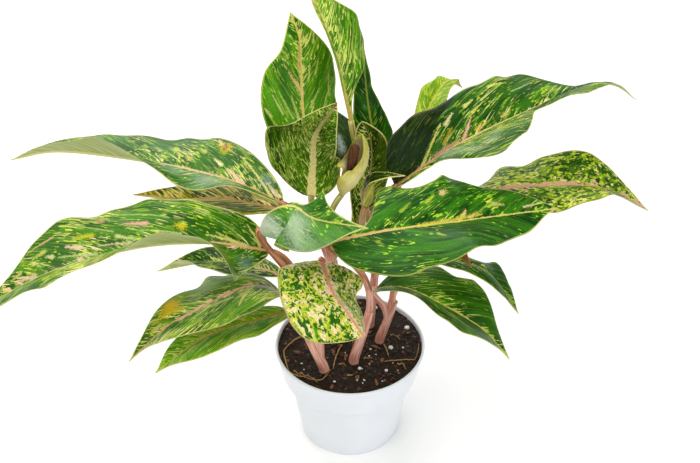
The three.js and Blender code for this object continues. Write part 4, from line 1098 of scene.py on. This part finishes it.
def stemMaterial():
    # Smooth fleshy leaf stalk: salmon pink with paler and greener streaks along it, waxy
    material, tree = newMaterial("pink leaf stalk skin")
    streak = streaksAlong(tree, 0.03, 1.6, 0.6)
    share = addNode(tree, "MapRange", {0: streak, 1: 0.38, 2: 0.64}, **smooth)
    salmon, ruddy, pale = (
        addNode(tree, "Mix", {0: share, 6: dark, 7: light}, data_type="RGBA")
        for dark, light in (("C07A66", "E8B8A6"), ("965432", "C98C62"), ("868A36", "CDC07A")))
    along, leafy = readMarks(tree, ("along", "leafy"))
    upward = addNode(tree, "MapRange", {0: along, 1: 60.0, 2: 110.0}, **smooth)
    where = addNode(tree, "TexCoord")
    height = addNode(tree, "SeparateXYZ", {0: where.outputs["Object"]})
    rise = addNode(tree, "MapRange", {0: height.outputs["Z"], 1: 0.125, 2: 0.175}, **smooth)
    leafy = addNode(tree, "Math", {0: rise, 1: leafy}, operation="MULTIPLY")
    # green blotches of about 20 mm
    blotch = addNode(tree, "TexNoise", {"Vector": where.outputs["Object"], "Scale": 45.0, "Detail": 2.0})
    green = addNode(tree, "MapRange", {0: blotch, 1: 0.60, 2: 0.74, 4: 0.5}, **smooth)
    colour = salmon
    for amount, tint in ((upward, ruddy), (leafy, pale), (green, "B9B07E")):
        colour = addNode(tree, "Mix", {0: amount, 6: colour, 7: tint}, data_type="RGBA")
    finishMaterial(tree, colour, 0.42, height=streak, depth=0.07, specular=0.4)
    return material


stemSkin = stemMaterial()

flower = {
    "rib": [(-5.5, 0, 210), (3.5, 5, 220), (8.5, 8, 231.5), (9.5, 6, 244), (7.5, 0, 256)],
    "bearing": 66, "half": (20, 21), "belly": 0.42, "tip": 0.72,
    "left": (100, 85, 68, 52, 35), "right": (95, 95, 92, 82, 62), "arches": (-40, -130),
    "leftWidths": (1.8, 1.25, 1.12, 1.05, 1.15, 1.1, 0.95, 0.9, 1),
    "rightWidths": (2.4, 1.8, 1.35, 1.12, 1.05, 1, 1, 1, 1),
    "spikeFoot": (-0.9, -2.1, 224), "spikeTip": (3.6, -3, 250), "spikeFootRadius": 1.1, "spikeRadius": 3.2,
    "spikeRows": 70, "spikeColumns": 60, "knob": 0.18, "knobRow": 1.3, "knobsAround": 9,
    "stalkRadii": (2.5, 2.2),
}
bud = {"foot": (10, -4, 203), "tip": (14.5, -3, 219.5), "radius": 3.4, "rows": 40, "sides": 36}

# The flower's and the bud's own stalks: the shoot, the height they leave it at, what they carry
# and how green they are
bearers = (("shoot_centre", 140, flower["rib"], 1.0), ("shoot_back", 130, [bud["foot"], bud["tip"]], 0.2))

for name, shoot in shoots.items():
    buildShoot(name, shoot)
print("shoots ready")


# Flower and bud

def hoodMaterial(name, pale, yellow):
    # Waxy hood of the flower: cream, yellower towards its margin and tip, in streaks 25 mm long and 2 mm wide
    material, tree = newMaterial(name)
    across, along, inward = readMarks(tree, ("across", "along", "inward"))
    place = addNode(tree, "CombineXYZ", {0: along, 1: across})
    place = addNode(tree, "VectorMath", {0: place, 1: (0.04, 0.5, 1)}, operation="MULTIPLY")
    streak = addNode(tree, "TexNoise", {"Vector": place, "Scale": 1.0, "Detail": 3.0})
    rise = addNode(tree, "MapRange", {0: inward, 1: 8.0, 2: 0.5, 3: 0.0, 4: 0.5})
    share = addNode(tree, "Math", {0: rise, 1: streak}, operation="ADD")
    share = addNode(tree, "MapRange", {0: share, 1: 0.45, 2: 0.95}, **smooth)
    colour = addNode(tree, "Mix", {0: share, 6: pale, 7: yellow}, data_type="RGBA")
    finishMaterial(tree, colour, 0.42, height=streak, depth=0.1, specular=0.4)
    return material


def buildHood():
    mesh, _ = bladeMesh("hood", flower, 3)
    inside = hoodMaterial("waxy cream hood", "E4DDB0", "C9BC50")
    outside = hoodMaterial("waxy cream hood outside", "D6CD86", "B9B24A")
    finishPiece("flower_hood", mesh, [inside, outside], "spathe")


def buildSpike():
    # Packed with tiny florets, so its skin is knobbly: dried, matt and uneven
    rows, columns = flower["spikeRows"], flower["spikeColumns"]
    course = np.array([flower["spikeFoot"], flower["spikeTip"]], float)
    run, directions, length = evenRun(course, rows)
    t = np.linspace(0, 1, rows + 1)
    thin, thick = flower["spikeFootRadius"], flower["spikeRadius"]
    body = thin + (thick - thin) * np.minimum(1, t * 1.9)  # swells up to its middle
    tip = np.sqrt(np.clip(1 - np.clip((t - 0.86) / 0.145, 0, 1) ** 2, 0.01, 1))
    points = tubePoints(run, directions, body * tip, columns)
    for i in range(rows + 1):
        climb = t[i] * length
        offset = math.pi if int(climb / flower["knobRow"]) % 2 else 0
        for j in range(columns + 1):
            turn = 2 * math.pi * (j % columns) / columns
            knob = flower["knob"] * math.cos(flower["knobsAround"] * turn + offset)
            knob *= math.sin(math.pi * climb / flower["knobRow"])
            out = points[i, j] - run[i]
            points[i, j] = run[i] + out * (1 + knob / max(np.linalg.norm(out), 1))
    bm = bmesh.new()
    addSkin(bm, points, tubeMarks(points, length))
    material = grainyMaterial("reddish brown spike", "3A1C0A", "6E421E", 0.75, scale=700.0, full=0.68)
    finishPiece("flower_spike", meshFrom(bm, "spike"), [material], "spadix")


def buildBud():
    run, directions, length = evenRun(np.array([bud["foot"], bud["tip"]], float), bud["rows"])
    t = np.linspace(0, 1, bud["rows"] + 1)
    radii = bud["radius"] * (0.25 + 0.75 * np.sin(math.pi * t ** 0.8))
    points = tubePoints(run, directions, radii, bud["sides"], groove=0.12)
    bm = bmesh.new()
    addSkin(bm, points, tubeMarks(points, length))
    material, tree = newMaterial("rolled green bud skin")  # rolled young hood: waxy, green turning cream
    streak = streaksAlong(tree, 0.06, 1.5, 0.5)
    share = addNode(tree, "MapRange", {0: streak, 1: 0.38, 2: 0.65})
    colour = addNode(tree, "Mix", {0: share, 6: "747A18", 7: "C4BC50"}, data_type="RGBA")
    finishMaterial(tree, colour, 0.45, height=streak, depth=0.15, specular=0.4)
    finishPiece("flower_bud_skin", meshFrom(bm, "bud"), [material], "flower_bud")


buildHood()
buildSpike()
buildBud()
print("flower ready")


# Pot: spun from its profile, the same sizes as the solid

pot = {
    "height": 81, "rimRadius": 55, "bandDepth": 26, "bandFoot": 50, "bodyTop": 46, "baseRadius": 37.5,
    "wall": 1.3, "floor": 2, "holeRadius": 4, "holeCircle": 24, "holeCount": 6, "steps": 144,
}


def potProfile():
    top, foot, wall = pot["height"], pot["height"] - pot["bandDepth"], pot["wall"]
    rim, band, body, base = pot["rimRadius"], pot["bandFoot"], pot["bodyTop"], pot["baseRadius"]
    return [
        (0, 0), (base - 4, 0), (base - 1, 0), (base - 0.3, 0.3), (base, 1), (base + 0.15, 2.2),
        (body - 0.6, foot - 2.6), (body - 0.4, foot - 1.2), (body + 0.6, foot - 0.2), (band - 0.8, foot),
        (band - 0.2, foot + 0.2), (band, foot + 0.8), (band + 0.3, foot + 2.4),
        (rim - 0.7, top - 4.4), (rim - 0.5, top - 3.2), (rim - 0.05, top - 2.6), (rim, top - 2),
        (rim, top - 0.7), (rim - 0.2, top - 0.2), (rim - 0.6, top), (rim - wall, top),
        (rim - wall - 0.3, top - 0.6), (rim - wall - 0.6, top - 3),
        (band - wall, foot + 2), (body - wall, foot - 1),
        (base - wall, pot["floor"]), (base - wall - 2, pot["floor"]), (0, pot["floor"]),
    ]


def buildPot():
    bm = bmesh.new()
    corners = [bm.verts.new((r * mm, 0, z * mm)) for r, z in potProfile()]
    edges = [bm.edges.new(pair) for pair in zip(corners, corners[1:])]
    bmesh.ops.spin(bm, geom=[*corners, *edges], cent=(0, 0, 0), axis=(0, 0, 1), angle=2 * math.pi,
                   steps=pot["steps"], use_merge=True)
    bmesh.ops.remove_doubles(bm, verts=bm.verts, dist=1e-6)
    bmesh.ops.recalc_face_normals(bm, faces=bm.faces)
    mesh = meshFrom(bm, "pot")

    cutters = bmesh.new()
    radius, circle = pot["holeRadius"] * mm, pot["holeCircle"] * mm
    for k in range(pot["holeCount"]):
        angle = 2 * math.pi * (k + 0.5) / pot["holeCount"]
        made = bmesh.ops.create_cone(cutters, cap_ends=True, segments=32, radius1=radius, radius2=radius,
                                     depth=10 * mm)["verts"]
        place = (circle * math.cos(angle), circle * math.sin(angle), 0)
        bmesh.ops.translate(cutters, verts=made, vec=place)
    cutter = bpy.data.objects.new("holes", meshFrom(cutters, "holes"))
    bpy.context.scene.collection.objects.link(cutter)
    shell = bpy.data.objects.new("shell", mesh)
    bpy.context.scene.collection.objects.link(shell)
    cut = shell.modifiers.new("holes", "BOOLEAN")
    cut.object, cut.operation, cut.solver = cutter, "DIFFERENCE", "EXACT"
    bpy.context.view_layer.update()
    done = bpy.data.meshes.new_from_object(shell.evaluated_get(bpy.context.evaluated_depsgraph_get()))
    bpy.data.objects.remove(shell)
    bpy.data.objects.remove(cutter)

    # thin moulded plastic: slightly bluish and satin, with faint flow marks of 50 mm and a fine bloom
    material, tree = newMaterial("moulded white polypropylene")
    where = addNode(tree, "TexCoord")
    flow = addNode(tree, "TexNoise", {"Vector": where.outputs["Object"], "Scale": 18.0, "Detail": 2.0})
    share = addNode(tree, "MapRange", {0: flow, 1: 0.35, 2: 0.65})
    colour = addNode(tree, "Mix", {0: share, 6: "E1E5EC", 7: "E8ECF2"}, data_type="RGBA")
    fine = addNode(tree, "TexNoise", {"Vector": where.outputs["Object"], "Scale": 900.0, "Detail": 1.0})
    finishMaterial(tree, colour, 0.38, height=fine, depth=0.02, specular=0.5)
    finishPiece("pot_shell", done, [material], "pot")


buildPot()
print("pot ready")


# Soil with perlite, bark crumbs and surface roots. Its top is swell, clod, crumb and grit, under is the
# radius and height of its hidden rings, bark and tiny are counts, and perlite and feed are places.

soil = {
    "level": 79.2, "radius": 52.8, "rings": 92, "spokes": 260, "below": 1.2, "swell": 0.5,
    "clod": 0.9, "clodScale": 0.16, "crumb": 0.75, "crumbScale": 0.42, "grit": 0.35, "gritScale": 1.3,
    "lump": 0.28, "lumpScale": 1.7, "raised": 0.25,
    "under": ((48, 60), (44, 53), (36, 2.4), (1, 2.4)), "bark": 110, "tiny": 26, "grainReach": 49,
    "perlite": [
        (43, 19, 3.0), (30, -4, 2.5), (7, -25, 1.9), (26, -28, 1.7), (15, -6, 1.0), (19, -4, 0.7),
        (14, -13, 0.9), (19, -11, 0.7), (14, -21, 0.7), (5, -38, 1.2), (10, -38, 1.1), (9, -41, 0.8),
        (23, -38, 0.9), (34, -28, 1.2), (39, -4, 1.1), (-11, -39, 1.3), (-35, -20, 1.2), (-33, -27, 0.7),
        (31, -20, 0.7), (-31, 1, 0.7), (-25, 30, 2.0), (-8, 40, 1.5), (20, 42, 2.2),
    ],
    "feed": [
        (11, -28), (18, -29), (5, -33), (29, -31), (47, -9), (-21, -33), (3, -31), (14, -31),
        (30, 34), (-38, 22),
    ],
}


def soilHeight(x, y):
    # A gentle swell under clods, crumbs and grit
    swell = soil["swell"] * math.sin(0.17 * x + 0.6) * math.cos(0.14 * y - 0.4)
    place = Vector((x, y, 3.1))
    clods = soil["clod"] * noise.fractal(place * soil["clodScale"], 0.9, 2.1, 3)
    crumbs = soil["crumb"] * noise.noise(place * soil["crumbScale"])
    grit = soil["grit"] * noise.noise(place * soil["gritScale"])
    return soil["level"] - soil["below"] + swell + clods + crumbs + grit


def buildSoil():
    # Rings of the crumbly top from the middle outwards, then the sides and the underside
    rings, spokes = soil["rings"], soil["spokes"]
    angles = [2 * math.pi * (j % spokes) / spokes for j in range(spokes + 1)]
    rows = []
    for i in range(rings + 1):
        reach = soil["radius"] * i / rings
        ring = [(reach * math.cos(a), reach * math.sin(a)) for a in angles]
        rows.append([(x, y, soilHeight(x, y)) for x, y in ring])
    for radius, height in soil["under"]:
        rows.append([(radius * math.cos(a), radius * math.sin(a), height) for a in angles])
    bm = bmesh.new()
    addSkin(bm, np.array(rows[::-1]))
    bmesh.ops.remove_doubles(bm, verts=bm.verts, dist=1e-6)
    bmesh.ops.recalc_face_normals(bm, faces=bm.faces)
    # moist peat: near black brown and dull, with clods and grains of 2 mm and tan flecks of 4 mm
    material, tree = newMaterial("moist peat potting mix")
    where = addNode(tree, "TexCoord")
    clod = addNode(tree, "TexVoronoi", {"Vector": where.outputs["Object"], "Scale": 420.0})
    grain = addNode(tree, "TexNoise", {
        "Vector": where.outputs["Object"], "Scale": 520.0, "Detail": 4.0, "Roughness": 0.7})
    tone = addNode(tree, "MapRange", {0: grain, 1: 0.38, 2: 0.66})
    colour = addNode(tree, "Mix", {0: tone, 6: "080402", 7: "34200F"}, data_type="RGBA")
    fleck = addNode(tree, "TexNoise", {"Vector": where.outputs["Object"], "Scale": 260.0, "Detail": 2.0})
    share = addNode(tree, "MapRange", {0: fleck, 1: 0.64, 2: 0.70, 4: 0.75})
    colour = addNode(tree, "Mix", {0: share, 6: colour, 7: "80593E"}, data_type="RGBA")
    bumps = addNode(tree, "Math", {0: clod.outputs["Distance"], 1: grain}, operation="ADD")
    finishMaterial(tree, colour, 0.78, height=bumps, depth=0.9, specular=0.3)
    finishPiece("soil_body", meshFrom(bm, "soil"), [material], "soil")


def anywhere(count, seed, size):
    # Random places for small grains, clear of the stems: across, back and radius
    draw = random.Random(seed)
    places = []
    while len(places) < count:
        angle = 2 * math.pi * draw.random()
        reach = soil["grainReach"] * math.sqrt(draw.random())
        x, y = reach * math.cos(angle), reach * math.sin(angle)
        if all(math.dist((x, y), shoot["foot"]) > shoot["radius"] + 1.5 for shoot in shoots.values()):
            places.append((x, y, size[0] + (size[1] - size[0]) * draw.random() ** 2))
    return places


def layGrains(places, seed, name, material, squash=0.75, stretched=0.5):
    # Lumpy grains half sunk in the soil, in one mesh
    draw = random.Random(seed)
    bm = bmesh.new()
    for number, (x, y, grain) in enumerate(places):
        made = bmesh.ops.create_icosphere(bm, subdivisions=2, radius=1)["verts"]
        turn = 2 * math.pi * draw.random()
        cos, sin = math.cos(turn), math.sin(turn)
        stretch = 1 + stretched * (draw.random() - 0.5)
        for vert in made:
            place = vert.co * soil["lumpScale"] + Vector((number * 3.1, seed, 0))
            lump = 1 + soil["lump"] * noise.noise(place)
            shape = Vector((vert.co.x * stretch, vert.co.y / stretch, vert.co.z * squash)) * lump * grain
            turned = Vector((shape.x * cos - shape.y * sin, shape.x * sin + shape.y * cos, shape.z))
            vert.co = (turned + Vector((x, y, soilHeight(x, y) + soil["raised"] * grain))) * mm
    finishPiece(name, meshFrom(bm, name), [material], None)


# Roots that lie on the soil: their courses across the top, in millimetres
roots = {
    "rows": 60, "sides": 8, "radii": (0.6, 0.45), "above": 0.3, "arch": 0.9, "knots": 0.18,
    "courses": [
        [(-37, 8), (-43, 2), (-48, -6), (-48, -12), (-46, -21), (-44, -28),
         (-40, -33), (-33, -35), (-26, -38), (-21, -38), (-17, -34), (-14, -27)],
        [(-40, -30), (-35, -32), (-27, -36), (-23, -41)],
        [(-6, -1), (-9, -10), (-11, -19), (-12, -28)],
        [(25, -19), (31, -19), (35, -17), (41, -17), (47, -16), (50, -7), (51, 2)],
        [(34, -22), (38, -22), (40, -27)],
        [(30, 10), (34, 9), (37, 3)],
        [(25, 1), (27, -7), (28, -13)],
        [(-8, -22), (-5, -21), (-3, -24)],
        [(-2, -33), (2, -33)],
        [(10, -16), (15, -15), (16, -16)],
    ],
}


def buildRoots():
    bm = bmesh.new()
    rows = roots["rows"]
    for number, course in enumerate(roots["courses"]):
        centres, _, _ = smoothRun([(x, y, soil["level"]) for x, y in course], rows)
        for step, centre in enumerate(centres):
            arch = roots["arch"] * math.sin(0.21 * step + number) ** 2
            centre[2] = soilHeight(centre[0], centre[1]) + roots["above"] + arch
        centres, alongs, length = evenRun(centres, rows)
        knots = 1 + roots["knots"] * np.sin(np.linspace(0, 23, rows + 1) + number)
        radii = roots["radii"][number % 2] * knots * (1 - 0.5 * np.linspace(0, 1, rows + 1))
        addTube(bm, centres, alongs, radii, length, roots["sides"])
    bark = grainyMaterial("dry tan root skin", "8A6A3E", "B9965E", 0.7)
    finishPiece("surface_roots", meshFrom(bm, "roots"), [bark], None)


buildSoil()
perlite = soil["perlite"] + anywhere(soil["tiny"], 11, (0.3, 0.7))
perlite = [(x, y, 0.7 * grain) for x, y, grain in perlite]
feed = [(x, y, 0.6) for x, y in soil["feed"]]
puffed = grainyMaterial("white puffed perlite", "D9D6D0", "F6F5F2", 0.85)  # chalky and dull
coated = grainyMaterial("teal coated plant feed", "0E4F46", "1F7A68", 0.35)  # beads with a glossy coat
darkBark = grainyMaterial("dark bark crumb", "22150E", "4A3122", 0.8)  # wet and nearly black
brownWood = grainyMaterial("brown wood crumb", "4A3020", "8A6446", 0.8)  # dry splinters
layGrains(perlite, 11, "perlite_grains", puffed)
layGrains(feed, 23, "feed_grains", coated, stretched=0.2)
crumbs = anywhere(soil["bark"], 37, (0.7, 2.2))
layGrains(crumbs[::2], 37, "bark_crumbs", darkBark, squash=0.45)
layGrains(crumbs[1::2], 41, "wood_crumbs", brownWood, squash=0.4, stretched=1.1)
buildRoots()
print("soil ready")
